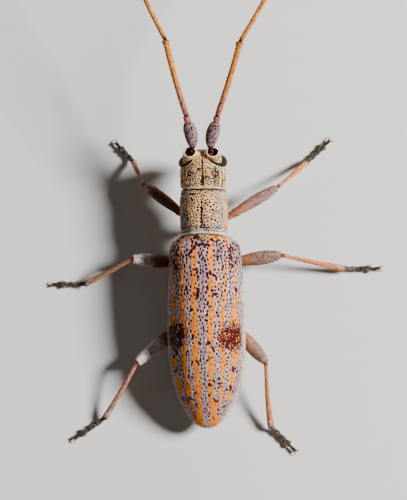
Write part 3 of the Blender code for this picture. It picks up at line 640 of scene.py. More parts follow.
elytraLook = {
    "rows": 460, "columns": 160, "underColumns": 12, "frontY": 0.03, "endY": 7.56,
    "halfWidths": ((0.03, 0.98), (0.1, 1.11), (0.22, 1.285), (0.45, 1.4), (0.9, 1.435),
                   (2.1, 1.496), (3.8, 1.54), (4.9, 1.489), (5.6, 1.385), (6.2, 1.21),
                   (6.8, 0.92), (7.25, 0.6), (7.45, 0.38), (7.53, 0.22), (7.56, 0.08)),
    "tops": ((0.03, 2.44), (0.1, 2.56), (0.4, 2.7), (1.2, 2.8), (2.6, 2.86), (4.2, 2.83),
             (5.4, 2.64), (6.3, 2.32), (7.0, 1.94), (7.4, 1.65), (7.56, 1.44)),
    "margins": ((0.03, 1.5), (0.6, 1.26), (2.0, 1.14), (4.0, 1.08), (5.6, 1.1),
                (6.8, 1.2), (7.56, 1.34)),
    "squareness": 2.25, "wall": 0.09, "sutureHalfGap": 0.006,
    # the three stripes of gold on each side: y, inner and outer edge in mm from the suture
    # (crossed edges break a stripe)
    "stripes": {
        "left": (
            ((0.36, 0.34, 0.3), (0.52, 0.25, 0.37), (0.8, 0.25, 0.46), (1.1, 0.26, 0.5),
             (1.28, 0.29, 0.39), (1.52, 0.29, 0.47), (1.9, 0.21, 0.49), (2.25, 0.27, 0.46),
             (2.5, 0.29, 0.5), (2.75, 0.23, 0.5), (2.95, 0.22, 0.4), (3.3, 0.18, 0.5), (3.8, 0.19, 0.46),
             (4.08, 0.22, 0.36), (4.45, 0.18, 0.46), (4.9, 0.2, 0.46), (5.15, 0.2, 0.41),
             (5.6, 0.14, 0.38), (6.0, 0.13, 0.4), (6.25, 0.13, 0.34), (6.7, 0.13, 0.3), (7.0, 0.13, 0.42),
             (7.3, 0.12, 0.62), (7.56, 0.1, 0.62)),
            ((0.14, 0.9, 0.86), (0.28, 0.79, 0.95), (0.8, 0.86, 0.98), (1.1, 0.82, 0.98),
             (1.5, 0.77, 0.93), (1.8, 0.69, 0.89), (2.15, 0.77, 0.88), (2.5, 0.72, 0.9), (2.9, 0.69, 0.83),
             (3.3, 0.64, 0.8), (3.8, 0.6, 0.79), (4.15, 0.65, 0.77), (4.5, 0.6, 0.8), (4.75, 0.65, 0.81),
             (5.2, 0.63, 0.8), (5.5, 0.66, 0.75), (5.8, 0.56, 0.76), (6.1, 0.48, 0.7), (6.3, 0.54, 0.64),
             (6.43, 0.56, 0.5), (6.6, 0.43, 0.56), (6.85, 0.4, 0.5), (7.05, 0.44, 0.4)),
            ((0.62, 1.27, 1.24), (0.8, 1.21, 1.29), (1.1, 1.24, 1.32), (1.5, 1.2, 1.3), (2.1, 1.14, 1.32),
             (2.45, 1.18, 1.28), (2.7, 1.12, 1.32), (2.93, 1.24, 1.21), (3.1, 1.17, 1.27),
             (3.4, 1.07, 1.33), (3.66, 1.16, 1.28), (3.8, 1.26, 1.2), (4.22, 1.26, 1.2), (4.36, 1.1, 1.38),
             (4.58, 1.24, 1.2), (4.8, 1.09, 1.29), (5.1, 1.1, 1.28), (5.3, 1.2, 1.16), (5.5, 1.04, 1.13),
             (5.8, 1.0, 1.2), (6.1, 0.92, 1.1), (6.36, 1.02, 0.98), (6.52, 0.8, 0.88), (6.75, 0.71, 0.84),
             (7.02, 0.68, 0.64))),
        "right": (
            ((0.1, 0.22, 0.8), (0.22, 0.22, 0.44), (0.34, 0.21, 0.35), (0.7, 0.2, 0.4), (1.15, 0.18, 0.43),
             (1.32, 0.23, 0.42), (1.52, 0.33, 0.36), (1.72, 0.22, 0.41), (2.05, 0.2, 0.43),
             (2.28, 0.2, 0.35), (2.55, 0.2, 0.46), (2.74, 0.26, 0.46), (3.1, 0.19, 0.47),
             (3.5, 0.17, 0.44), (4.0, 0.18, 0.41), (4.36, 0.17, 0.3), (4.65, 0.16, 0.38),
             (4.95, 0.17, 0.42), (5.35, 0.15, 0.42), (5.62, 0.2, 0.34), (5.95, 0.12, 0.38),
             (6.4, 0.14, 0.34), (6.7, 0.13, 0.48), (7.0, 0.15, 0.44), (7.25, 0.13, 0.7),
             (7.56, 0.1, 0.7)),
            ((0.08, 0.9, 0.84), (0.18, 0.78, 0.95), (0.5, 0.78, 0.93), (0.8, 0.84, 0.95),
             (1.2, 0.78, 0.95), (1.6, 0.72, 0.91), (2.1, 0.72, 0.87), (2.5, 0.68, 0.86), (2.9, 0.65, 0.77),
             (3.2, 0.6, 0.81), (3.7, 0.61, 0.74), (4.05, 0.57, 0.75), (4.45, 0.56, 0.77),
             (4.8, 0.64, 0.82), (5.15, 0.57, 0.82), (5.5, 0.62, 0.75), (5.75, 0.64, 0.7), (6.1, 0.5, 0.69),
             (6.45, 0.54, 0.63), (6.66, 0.45, 0.54), (6.8, 0.5, 0.44)),
            ((0.9, 1.2, 1.17), (1.1, 1.12, 1.24), (1.32, 1.15, 1.27), (1.9, 1.12, 1.31), (2.08, 1.24, 1.2),
             (2.3, 1.15, 1.27), (2.55, 1.12, 1.3), (2.85, 1.11, 1.26), (3.2, 1.06, 1.34),
             (3.52, 1.11, 1.32), (3.72, 1.26, 1.2), (4.36, 1.22, 1.16), (4.52, 1.08, 1.31),
             (4.8, 1.04, 1.33), (5.05, 1.05, 1.24), (5.27, 1.07, 1.11), (5.5, 0.97, 1.2),
             (5.74, 0.96, 1.17), (5.97, 1.08, 1.03), (6.18, 0.85, 1.03), (6.42, 0.8, 1.0),
             (6.64, 0.86, 0.8))),
    },
    # bare dark marks: y, out from the suture, half length, half width, turn outward in degrees
    "marks": {
        "left": (
            (0.64, 0.49, 0.26, 0.042, 38), (0.34, 0.29, 0.05, 0.042, 0), (0.42, 0.22, 0.07, 0.03, -30),
            (0.47, 0.33, 0.045, 0.06, 0), (0.19, 0.36, 0.055, 0.025, -50), (0.4, 0.06, 0.045, 0.1, 0),
            (0.84, 0.51, 0.06, 0.035, 30), (0.8, 0.13, 0.035, 0.06, 0), (1.35, 0.36, 0.035, 0.085, 15),
            (1.46, 0.25, 0.08, 0.045, 30), (1.17, 1.18, 0.15, 0.035, -22), (2.09, 0.68, 0.12, 0.04, -15),
            (2.3, 0.22, 0.22, 0.062, 10), (2.12, 0.22, 0.09, 0.035, -35), (2.3, 0.37, 0.09, 0.03, -20),
            (2.94, 0.47, 0.09, 0.055, 48), (4.0, 0.41, 0.11, 0.045, 20), (4.22, 0.17, 0.09, 0.035, 0),
            (4.57, 0.62, 0.03, 0.06, 0), (4.66, 0.69, 0.11, 0.028, 0), (4.73, 1.22, 0.09, 0.05, 20),
            (4.55, 1.12, 0.13, 0.05, -35), (4.98, 0.46, 0.06, 0.035, 20), (4.96, 0.27, 0.07, 0.035, -20),
            (5.04, 0.2, 0.09, 0.03, -10), (4.93, 0.14, 0.03, 0.05, 0), (5.3, 1.16, 0.09, 0.045, 50),
            (5.55, 0.62, 0.1, 0.032, 20), (6.22, 0.43, 0.06, 0.035, 0), (6.17, 0.34, 0.07, 0.032, -25),
            (6.41, 0.57, 0.17, 0.03, -68), (6.62, 0.36, 0.05, 0.045, 0), (6.47, 0.73, 0.1, 0.032, -38),
            (6.42, 0.91, 0.1, 0.05, -30), (6.94, 0.43, 0.045, 0.032, 0), (7.08, 0.46, 0.08, 0.028, -30)),
        "right": (
            (0.41, 0.12, 0.045, 0.12, -8), (0.25, 0.34, 0.035, 0.11, -20), (0.22, 0.56, 0.045, 0.045, 0),
            (0.31, 0.51, 0.055, 0.04, 0), (1.46, 0.25, 0.08, 0.055, 0), (1.58, 0.42, 0.1, 0.05, 62),
            (1.72, 0.51, 0.09, 0.035, 8), (1.58, 0.15, 0.07, 0.05, 20), (0.86, 0.56, 0.06, 0.05, 0),
            (1.15, 1.07, 0.11, 0.035, 32), (0.8, 1.05, 0.11, 0.03, 32), (2.05, 0.15, 0.09, 0.05, 20),
            (2.17, 0.36, 0.045, 0.04, 0), (2.3, 0.4, 0.04, 0.09, 0), (2.4, 0.37, 0.06, 0.035, -30),
            (2.31, 0.52, 0.045, 0.05, 0), (2.7, 0.16, 0.035, 0.09, 15), (2.81, 0.29, 0.03, 0.07, 15),
            (3.12, 0.13, 0.09, 0.03, -25), (3.35, 0.15, 0.055, 0.04, 0), (2.12, 1.24, 0.1, 0.045, 10),
            (4.22, 0.22, 0.07, 0.075, 0), (4.46, 0.36, 0.13, 0.03, 20), (4.9, 0.17, 0.035, 0.07, 15),
            (4.81, 0.26, 0.06, 0.025, -45), (5.25, 1.12, 0.1, 0.042, 0), (5.2, 1.21, 0.03, 0.03, 0),
            (5.35, 1.25, 0.04, 0.03, 0), (5.7, 0.36, 0.07, 0.04, 40), (5.87, 0.22, 0.07, 0.07, 0),
            (5.64, 0.55, 0.035, 0.065, 0), (5.82, 0.58, 0.03, 0.08, 15), (5.92, 0.63, 0.04, 0.035, 0),
            (5.97, 1.0, 0.13, 0.042, -5), (6.05, 0.85, 0.06, 0.04, -30), (6.1, 1.13, 0.09, 0.032, -15),
            (6.27, 0.17, 0.045, 0.045, 0), (6.48, 0.39, 0.1, 0.035, 30), (6.47, 0.48, 0.06, 0.032, 10),
            (6.84, 0.47, 0.045, 0.03, 0), (7.0, 0.47, 0.045, 0.032, 0), (6.71, 0.73, 0.035, 0.055, 0),
            (6.87, 0.71, 0.035, 0.04, 0), (7.18, 0.28, 0.035, 0.035, 0), (7.02, 0.13, 0.05, 0.025, 0)),
    },
    # dark net behind the middle of each flank: y, out, half length, half width, how closed it is,
    # how golden its gaps are
    "blotch": {"left": (3.92, 1.12, 0.52, 0.48, 0.5, 0.2), "right": (4.0, 1.1, 0.62, 0.52, 0.4, 0.75)},
    # cream and orange flecks between the stripes: y, out, half length, half width, how many
    "flecks": {"left": (1.5, 0.8, 1.5, 0.24, 0.25), "right": (1.9, 0.6, 0.9, 0.18, 0.3)},
    "foldShadingStrength": {"left": 1.0, "right": 0.45},     # how strongly the shoulder's folds get a painted highlight on their crests and painted shade in their troughs
    "strokes": {"left": 0.1, "right": 0.24},   # how crowded the dark strokes on the shoulder are
    # wine-coloured clouds with crowded pits: y, out, half length, half width
    "cloud": {"left": (0.66, 0.66, 0.2, 0.1), "right": (0.66, 0.6, 0.42, 0.18)},
    # the shoulder and the hollow inside it: height, y, half length, out, half width
    "swells": ((0.05, 0.5, 0.3, 1.02, 0.25), (-0.03, 0.45, 0.35, 0.62, 0.22)),
    "seamDepth": 0.007, "foldHeight": 0.01, "arch": 0.07,
    "aside": 0.04,          # how far the front's markings lie towards the beetle's right
    "flankTop": 1.95, "flankStretch": 0.9,      # below this the markings follow the flank down
    "pitSpacing": 0.126, "pitRadius": 0.049, "pitDepth": 0.026, "markSwell": 0.006, "hairLength": 0.05,
}


def elytronRings(look, sign):
    t = np.linspace(0, 1, look["rows"])
    y = look["endY"] - (look["endY"] - look["frontY"]) * (1 - t) ** 1.25
    half, top, margin = (line(look[key], y) for key in ("halfWidths", "tops", "margins"))
    cosine, sine = squared(np.linspace(0, np.pi / 2, 240), look["squareness"])
    rings = np.empty((len(y), look["columns"] + look["underColumns"], 3))
    share = np.linspace(0, 1, look["columns"])
    under = 1 - np.linspace(0, 1, look["underColumns"] - 2)
    innerCosine, innerSine = squared(np.pi / 2 * under, look["squareness"])
    for i in range(len(y)):
        x = np.maximum(half[i] * sine, look["sutureHalfGap"])
        z = margin[i] + (top[i] - margin[i]) * cosine
        length = np.concatenate(([0], np.cumsum(np.hypot(np.diff(x), np.diff(z)))))
        outerX = np.interp(share * length[-1], length, x)
        outerZ = np.interp(share * length[-1], length, z)
        fold = min(0.12, half[i] * 0.4)
        wall = min(look["wall"], (top[i] - margin[i]) * 0.4)
        innerX = np.maximum((half[i] - fold) * innerSine, look["sutureHalfGap"])
        innerZ = margin[i] - 0.03 + (top[i] - margin[i] + 0.03 - wall) * innerCosine
        foldX = (half[i] - fold * 0.15, half[i] - fold * 0.55)
        foldZ = (margin[i] - 0.045, margin[i] - 0.06)
        rings[i, :, 0] = sign * np.concatenate((outerX, foldX, innerX))
        rings[i, :, 1] = y[i]
        rings[i, :, 2] = np.concatenate((outerZ, foldZ, innerZ))
    return rings


def markMask(points, marks, ragged, swell=0.0):   # 1 inside small elongated marks seen from above
    x, y = np.abs(points[:, 0]), points[:, 1]
    mask = np.zeros(len(points))
    for markY, markX, halfLength, halfWidth, degrees in marks:
        c, s = math.cos(math.radians(degrees)), math.sin(math.radians(degrees))
        lengthwise = (y - markY) * c + (x - markX) * s
        crosswise = (x - markX) * c - (y - markY) * s
        away = (lengthwise / (halfLength + swell)) ** 2 + (crosswise / (halfWidth + swell)) ** 2
        mask = np.maximum(mask, 1 - ease(away + ragged, 0.5, 1.5))
    return mask


def stripeMask(out, y, rows, edge):    # 1 between a stripe's two edges
    inner, outer = along(rows, y).T
    return ease(out - inner + edge, -0.012, 0.012) * (1 - ease(out - outer - edge, -0.012, 0.012))


def patch(out, y, spot, low, high):    # 1 in the middle of an oval, 0 outside it
    middleY, middleX, halfLength, halfWidth = spot[:4]
    return 1 - ease(((y - middleY) / halfLength) ** 2 + ((out - middleX) / halfWidth) ** 2, low, high)


def swelling(x, y, swells):
    return sum(height * bell(y, swellY, long) * bell(x, swellX, wide)
               for height, swellY, long, swellX, wide in swells)


def archShare(x):        # the seam before the wing cases arches towards the head
    return clamp(1 - (x / 0.92) ** 2)


def foldWave(x, y):      # low folds that run outward and back over the shoulder, from -1 to 1
    fold = y - 1.3 * (x - 1.12)
    return np.sin(fold * 2 * np.pi / 0.23) * bell(y, 0.5, 0.34) * bell(x, 1.16, 0.17)


def makeElytron(side, look):
    sign = leftAndRight[side]
    rings = elytronRings(look, sign)
    outer = rings[:, :look["columns"]]
    x, y = np.abs(outer[..., 0]), outer[..., 1]
    outer[..., 2] += (swelling(x, y, look["swells"]) - look["seamDepth"] * bell(x, 0.0, 0.014)
                      + 0.006 * bell(x, 0.06, 0.05) + look["foldHeight"] * foldWave(x, y))
    rings[..., 1] -= look["arch"] * archShare(rings[..., 0]) * (1 - ease(rings[..., 1], 0.03, 0.8))
    mesh = makeMesh("elytron_" + side, loft(rings))
    points = readPoints(mesh)
    seed = 3 if side == "left" else 8
    x, y, z = np.abs(points[:, 0]), points[:, 1], points[:, 2]
    half = line(look["halfWidths"], y)
    y = y + look["arch"] * archShare(x) * (1 - ease(y, 0.03, 0.8))
    suture = x
    x = sign * (points[:, 0] + look["aside"] * (1 - ease(y, 1.0, 4.5)))
    x = x + look["flankStretch"] * np.maximum(0, look["flankTop"] - z) * ease(suture / half, 0.75, 0.97)
    flat = flatPoints(sign * x, y)
    outside = np.zeros(len(points))
    ringSize = look["columns"] + look["underColumns"]
    onOutside = np.arange(ringSize) < look["columns"] + 2
    outside[:look["rows"] * ringSize] = np.tile(onOutside, look["rows"])

    edge = grain(flat, (0.1, 0.15, 1), seed) * 0.02 + grain(flat, 0.045, seed + 1) * 0.03
    first, second, third = (stripeMask(x - outward, y, rows, edge)
                            for rows, outward in zip(look["stripes"][side], (0.0, 0.045, 0.0)))
    mottle = spots(flat, (0.07, 0.1, 1), seed + 2, -0.35, 0.35)
    base = ((1 - ease(y + edge * 3, 0.24, 0.36)) * ease(x, 0.24, 0.32) * (1 - ease(x, 0.86, 0.98))
            * (0.2 + 0.6 * mottle))
    rim = outside * ease(suture + edge, half - 0.06, half - 0.035) * ease(y, 1.2, 2.2)
    early = 1 - ease(y, 2.1, 2.9)      # towards the front the outer stripes thin out
    fleck = grain(flat, (0.045, 0.07, 1), seed + 15)
    broken = 1 - early * ease(fleck, 0.02, 0.32)
    sprinkled = patch(x, y, look["flecks"][side], 0.3, 1.2) * ease(
        fleck + look["flecks"][side][4], 0.35, 0.6)
    gold = most(first, second * broken, third * broken, base, 0.35 * rim, 0.8 * sprinkled)
    gold = clamp(gold) * outside

    ragged = grain(flat, 0.036, seed + 5) * 0.7
    marks = markMask(flatPoints(x, y), look["marks"][side], ragged, look["markSwell"])
    closed, golden = look["blotch"][side][4:]
    blotch = patch(x + grain(flat, 0.16, seed + 6) * 0.05, y + grain(flat, 0.13, seed + 8) * 0.06,
                   look["blotch"][side], 0.0, 1.5)
    net = grain(flat, (0.03, 0.046, 1), seed + 7) + 0.25 * grain(flat, 0.1, seed + 14)
    net = ease(net + 0.8 * (blotch - 1) + closed, 0.0, 0.2) * (blotch > 0.02)
    shoulder = ease(x, 0.72, 0.98) * (1 - ease(y, 0.9, 1.7))
    # painted light and shade of the shoulder's folds: lighter on their crests, darker in their troughs
    paintedFoldShading = foldWave(x, y) * look["foldShadingStrength"][side]
    slant = flatPoints(x + 1.3 * y, 1.3 * x - y) / 1.64
    strokes = (grain(slant, (0.095, 0.036, 1), seed + 16)
               + look["strokes"][side] * ease(x, 0.8, 1.05) - 0.5 * ease(y, 0.9, 2.4))
    strokes = ease(strokes, 0.34, 0.54) * ease(x, 0.72, 0.92) * (1 - ease(y, 1.6, 2.6))
    cloud = patch(x, y, look["cloud"][side], 0.4, 1.3)
    # besides the marks and net, dark takes painted shade in the troughs of the shoulder's folds
    dark = outside * most(marks, net, cloud * 0.28, strokes * 0.8, ease(-paintedFoldShading, 0.3, 0.75) * 0.9)
    flecks = ease(blotch, 0.45, 0.9) * (1 - net)
    gold = gold * (1 - 0.6 * ease(blotch, 0.3, 0.8) * (side == "left"))
    gold = np.maximum(gold, flecks * golden) * (1 - np.maximum(marks, cloud * 0.7))

    rear = ease(y, 4.8, 6.8)
    plain = (gold * (1 - 0.8 * early * np.maximum(second, third)) * (1 - ease(blotch, 0.1, 0.5))
             * ease(y, 0.3, 0.5))
    spacing = (look["pitSpacing"] + 0.012 * rear + 0.035 * plain - 0.012 * cloud - 0.018 * shoulder
               - 0.02 * ease(blotch, 0.0, 0.4) + 0.02 * ease(suture, half - 0.22, half - 0.1))
    radius = (look["pitRadius"] - 0.006 * ease(y, 2.0, 4.0) - 0.003 * rear - 0.013 * plain
              - 0.004 * cloud) * (1 + 0.22 * grain(flat, 0.35, seed + 13))
    hollows, pits, brim = punch(mesh, spacing, radius, look["pitDepth"] * outside, seed + 9, (1, 0.72, 1))
    hollows = hollows * outside
    bare = np.maximum(dark, hollows * (1 - 0.15 * gold))
    dusky = bell(x, 0.0, 0.2) * (1 - ease(y, 2.2, 3.2)) * 0.7
    lie = np.stack((points[:, 0] * 0.06 + grain(flat, 0.25, seed + 12) * 0.25,
                    np.ones(len(points)), -0.1 * ease(y, 4.5, 7.5)), 1)
    clear = clearOf(points, lie, look["hairLength"], pits)
    # pale also takes a painted highlight on the crests of the shoulder's folds
    pale = most(rim * 0.9, 0.5 * (1 - gold) * spots(flat, 0.3, seed + 11, 0.0, 0.6),
                0.45 * (second + third + sprinkled) * mottle * early,
                0.5 * (1 - ease(y, 0.4, 0.8)) * ease(x, 1.02, 1.12), 0.5 * base * (1 - mottle),
                1.3 * ease(paintedFoldShading, 0.2, 0.6), flecks * 0.2, 0.55 * brim * (1 - gold) * (1 - dusky))
    paint(mesh, run=points, ochre=gold, bare=bare, pale=np.clip(pale, 0, 1.3) * (1 - dark),
          tone=most(1 - outside, np.maximum(0.22 * dusky, 0.3 * cloud) * (1 - gold),
                    0.3 * ease(blotch, 0.2, 0.7)),
          lie=lie, thick=(outside * (1 - dark) * (clear + (1 - clear) * 0.35 * gold)
                          * ease(suture, 0.002, 0.007)),
          rootMap=flatPoints(suture / half * 0.45 + 0.02, y / 7.7 + 0.005))
    growHairs("elytronDown_" + side, mesh, elytraFinish, seed,
              perMm2=1500.0, length=look["hairLength"], lift=0.14, disorder=0.13)
    finishPiece("elytronShell_" + side, mesh, elytraFinish, ("elytron_" + side,))


for side in leftAndRight:
    makeElytron(side, elytraLook)
print("wing cases")


# Pronotum

pronotumLook = {
    "rows": 190, "columns": 300,
    # y, half width, top, underside
    "rings": ((-1.82, 0.875, 2.56, 0.96), (-1.73, 0.895, 2.6, 0.92), (-1.6, 0.925, 2.65, 0.88),
              (-1.1, 0.945, 2.68, 0.84), (-0.6, 0.935, 2.67, 0.85), (-0.22, 0.92, 2.64, 0.86),
              (0.0, 0.925, 2.62, 0.88)),
    # share of the way along the outline, y, depth below the rings
    "lips": ((0.0, -1.6, 0.2), (0.025, -1.76, 0.13), (0.045, -1.8, 0.07), (0.065, -1.815, 0.02),
             (0.085, -1.79, 0.0), (0.93, -0.03, 0.0), (0.955, 0.0, 0.03), (0.975, 0.0, 0.09),
             (1.0, -0.06, 0.18)),
    "squareness": 2.15, "furrows": (-1.6, -0.27), "furrowDepth": 0.028, "furrowWidth": 0.06,
    # the groove's half width along y
    "groove": ((-1.4, 0.008), (-1.2, 0.02), (-0.97, 0.038), (-0.66, 0.018), (-0.5, 0.05),
               (-0.42, 0.018)),
    "grooveDepth": 0.05,
    # the trough in the middle and a boss on each side: height, y, half length, x, half width
    "swells": ((-0.014, -0.9, 0.8, 0.03, 0.16), (0.018, -0.62, 0.28, 0.45, 0.2),
               (0.018, -0.62, 0.28, -0.45, 0.2)),
    # the gold stripe on each side: y, how far round the body it lies; its half width; in degrees
    "stripes": {"left": ((-1.7, 80), (-0.3, 80)), "right": ((-1.7, 60), (-0.3, 73))},
    "stripeHalfWidth": 7.0, "arch": 0.07, "aside": 0.035,
    # the small mark behind the front edge: y, out, half length, half width, degrees
    "mark": (-1.61, 0.38, 0.04, 0.11, 0),
    "pitSpacing": 0.086, "pitRadius": 0.037, "pitDepth": 0.022, "hairLength": 0.06,
}


def makePronotum(look):
    t = np.linspace(0, 1, look["rows"])
    lips = along(look["lips"], t)
    y, depth = lips[:, 0], lips[:, 1]
    half, top, bottom = along(look["rings"], y).T
    cosine, sine = squared(turns(look["columns"], 0.5), look["squareness"])
    sunk = depth + look["furrowDepth"] * sum(bell(y, at, look["furrowWidth"]) for at in look["furrows"])
    x = (half - sunk)[:, None] * cosine
    z = ((top + bottom) / 2)[:, None] + ((top - bottom) / 2 - sunk)[:, None] * sine
    upper = sine > 0
    start, end = look["groove"][0][0] + 0.08, look["groove"][-1][0] + 0.02
    inGroove = ease(y, start - 0.15, start + 0.25) * (1 - ease(y, end - 0.02, end + 0.05))
    z = z - upper * look["grooveDepth"] * inGroove[:, None] * bell(x, 0.03, 0.05)
    z = z + upper * swelling(x, y[:, None], look["swells"])
    bent = y[:, None] - look["arch"] * archShare(x) * upper * ease(y, -0.5, -0.03)[:, None]
    mesh = makeMesh("pronotum", loft(np.stack((x, bent, z), -1)))
    points = readPoints(mesh)
    x, y, z = (points + (look["aside"], 0, 0)).T   # the markings lie a little towards the beetle's right
    above = ease(z, 1.35, 1.8)
    y = y + look["arch"] * archShare(x) * (z > 1.75) * ease(y, -0.6, -0.1)
    middle = ((1 - ease(np.abs(x - 0.03) + grain(points, 0.16, 21) * 0.18, 0.42, 0.84))
              * (1 - 0.8 * ease(y + grain(points, 0.12, 32) * 0.05, -0.42, -0.3)))
    grooveHalf = line(look["groove"], y)
    groove = ((1 - ease(np.abs(x - 0.05 - 0.01 * np.sin(y * 6)), grooveHalf * 0.7, grooveHalf * 1.2))
              * ease(y, -1.42, -1.36) * (1 - ease(y, -0.43, -0.39)) * above)
    marks = markMask(points, (look["mark"],), grain(points, 0.05, 22) * 0.7) * (x > 0)
    band = bell(y, -0.26, 0.085) * above         # dark flecks before the rear rim
    # the front edge under the head's rim is painted dark among the marks: painted shade in the gap between
    # the head and the pronotum
    front = (1 - ease(y, -1.78, -1.74)) * above
    marks = most(marks, band * spots(points, (0.08, 0.04, 1), 23, -0.1, 0.4) * 0.7, front * 0.8)
    roundBody = np.degrees(np.arctan2(x, z - 1.78))
    stripe = np.zeros(len(points))
    for side, rows in look["stripes"].items():
        off = np.abs(roundBody - leftAndRight[side] * line(rows, y)) + grain(points, 0.1, 24) * 1.2
        stripe = np.maximum(stripe, 1 - ease(off / look["stripeHalfWidth"], 0.7, 1.3))
    stripe = stripe * ease(y, -1.74, -1.68) * (1 - ease(y, -0.3, -0.16))
    rearRim = ease(y, -0.1, -0.06)
    flank = 1 - middle
    spacing = look["pitSpacing"] + 0.028 * spots(points, 0.4, 25, -0.2, 0.6) - 0.008 * flank
    radius = look["pitRadius"] + 0.015 * spots(points, 0.2, 26, 0.0, 0.7) - 0.006 * flank
    hollows, pits, brim = punch(mesh, spacing, radius, look["pitDepth"] * (1 - rearRim) * (1 - stripe), 27)
    hollows = hollows * (1 - rearRim)
    bare = most(groove, marks, hollows * (1 - 0.6 * stripe))
    patchy = ease(grain(points, 0.08, 28) + 0.25 * grain(points, 0.3, 29), -0.45, 0.35)
    dusk = spots(points, (0.034, 0.05, 0.034), 30, 0.22 - 0.15 * flank, 0.5)
    dusk = dusk * (0.28 + 0.1 * flank) * (1 - stripe) * (1 - rearRim)
    gold = most(middle * (0.42 + 0.26 * patchy), stripe, 0.1 * flank) * above * (1 - rearRim)
    pale = most(rearRim, 0.55 * patchy * middle, 0.2 * above * (1 - stripe),
                0.45 * brim * (1 - stripe)) * (1 - front)
    lie = np.stack((-x * 0.25, np.full(len(x), 0.8), z * 0), 1)
    clear = clearOf(points, lie, look["hairLength"], pits)
    tucked = depthOf(np.stack((points[:, 0], y, z), 1), look)
    paint(mesh, run=points, ochre=gold, bare=np.maximum(bare, dusk), pale=pale,
          tone=clamp((1 - above) * 0.35 + ease(tucked, 0.03, 0.09)),
          thick=(1 - bare) * (clear + (1 - clear) * 0.5 * stripe) * (1 - ease(tucked, 0.0, 0.03)), lie=lie,
          rootMap=mapRound(x, z - 1.75, (y + 1.9) / 2))
    growHairs("pronotumHairs", mesh, pronotumFinish, 31,
              perMm2=1200.0, length=look["hairLength"], lift=0.16, disorder=0.2)
    finishPiece("pronotumShell", mesh, pronotumFinish, ("pronotum",))


def depthOf(points, look):      # how far a point of the pronotum lies inside its outline
    half, top, bottom = along(look["rings"], points[:, 1]).T
    middle = (top + bottom) / 2
    reach = ((np.abs(points[:, 0]) / half) ** look["squareness"]
             + (np.abs(points[:, 2] - middle) / ((top - bottom) / 2)) ** look["squareness"])
    return np.maximum(0, 1 - reach ** (1 / look["squareness"])) * 0.9 - 0.03


makePronotum(pronotumLook)
print("pronotum")


# Scutellum

def makeScutellum(look):
    rows, columns = 60, 72
    angle, t = turns(columns), np.linspace(0, 1, rows)
    size = np.minimum(1, np.sqrt(clamp(1 - (1 - np.minimum(t * 1.15, 1)) ** 2)) + 0.02)
    outlineX = look["halfWidth"] * squared(angle, 2.5)[0]
    outlineY = np.where(np.sin(angle) > 0, look["length"] * np.abs(np.sin(angle)) ** 0.9,
                        -0.03 * np.abs(np.sin(angle)) ** 0.5)
    rings = np.empty((rows, columns, 3))
    rings[..., 0] = size[:, None] * outlineX
    rings[..., 1] = look["front"] + size[:, None] * outlineY + (1 - size[:, None]) * 0.12
    rings[..., 2] = (look["top"] - look["tall"] * t ** 2.2)[:, None] + 0.02 * rings[..., 1]
    rings[..., 0] -= 0.02
    mesh = makeMesh("scutellum", loft(rings))
    points = readPoints(mesh)
    hollows = punch(mesh, 0.085, 0.024, 0.01, 41)[0]
    below = look["top"] - points[:, 2]
    flecks = 0.9 * spots(points, 0.028, 43, -0.1, 0.25)
    paint(mesh, run=points, ochre=0.55, bare=most(hollows, flecks, ease(below, 0.07, 0.12)),
          pale=0.25 + 0.4 * ease(below, 0.01, 0.06), tone=0.0, lie=[(0.0, 1.0, 0.05)],
          thick=(1 - ease(below, 0.08, 0.12)) * (1 - hollows) * (1 - flecks),
          rootMap=flatPoints(points[:, 0] + 0.5, points[:, 1] + 0.3))
    growHairs("scutellumHairs", mesh, pronotumFinish, 42,
              perMm2=1100.0, length=0.07, lift=0.15, disorder=0.25)
    finishPiece("scutellumPlate", mesh, pronotumFinish, ("scutellum",))


makeScutellum({"halfWidth": 0.235, "length": 0.26, "front": -0.01, "top": 2.71, "tall": 0.32})
print("scutellum")


# Head

headLook = {
    # z, half width, y of the front, y of the back
    "levels": ((0.96, 0.46, -3.16, -2.5), (1.06, 0.58, -3.26, -2.3), (1.3, 0.74, -3.35, -2.05),
               (1.6, 0.845, -3.4, -1.88), (1.95, 0.893, -3.4, -1.83), (2.2, 0.84, -3.36, -1.83),
               (2.42, 0.7, -3.26, -1.83), (2.56, 0.485, -3.1, -1.84), (2.63, 0.2, -2.9, -1.9)),
    "faceSquareness": 2.5, "napeSquareness": 9.0,
    "socket": (0.45, -3.25, 2.6), "tubercleRoot": (0.41, -2.96, 2.16),
    # share of the way up the tubercle, radius: over the rim and down into the cup
    "cup": ((0.0, 0.34), (0.3, 0.325), (0.6, 0.3), (0.85, 0.275), (0.97, 0.262), (1.02, 0.24),
            (1.01, 0.216), (0.94, 0.2), (0.82, 0.19), (0.68, 0.16), (0.64, 0.06)),
    "voxel": 0.0175,
    # the eye: out, y, z, half width of the band, how far it bulges
    "eye": ((0.33, -2.985, 2.6, 0.018, 0.02), (0.38, -2.93, 2.59, 0.032, 0.04),
            (0.47, -2.855, 2.53, 0.046, 0.06), (0.6, -2.775, 2.4, 0.068, 0.09),
            (0.725, -2.765, 2.21, 0.11, 0.135), (0.76, -2.87, 1.96, 0.2, 0.195),
            (0.735, -2.98, 1.7, 0.215, 0.18), (0.69, -3.02, 1.5, 0.14, 0.12),
            (0.67, -3.03, 1.41, 0.06, 0.06)),
    "facet": 0.034, "facetHeight": 0.0032, "eyeMiddle": (0.0, -2.55, 1.8),
    "grooveDepth": 0.022, "valleyDepth": 0.09, "sulcusDepth": 0.03, "seamDepth": 0.02, "rimHeight": 0.012,
    "cheek": (0.42, -3.02, 1.02), "cheekRadii": (0.2, 0.2, 0.17),     # at the jaw's root
    "neck": (0.76, 0.7), "clypeus": (0.36, 0.09),                     # half widths and half heights
    "pitSpacing": 0.064, "pitRadius": 0.031, "pitDepth": 0.018, "hairLength": 0.055,
}


def mirrored(points, sign):
    return np.asarray(points, float) * (sign, 1, 1)


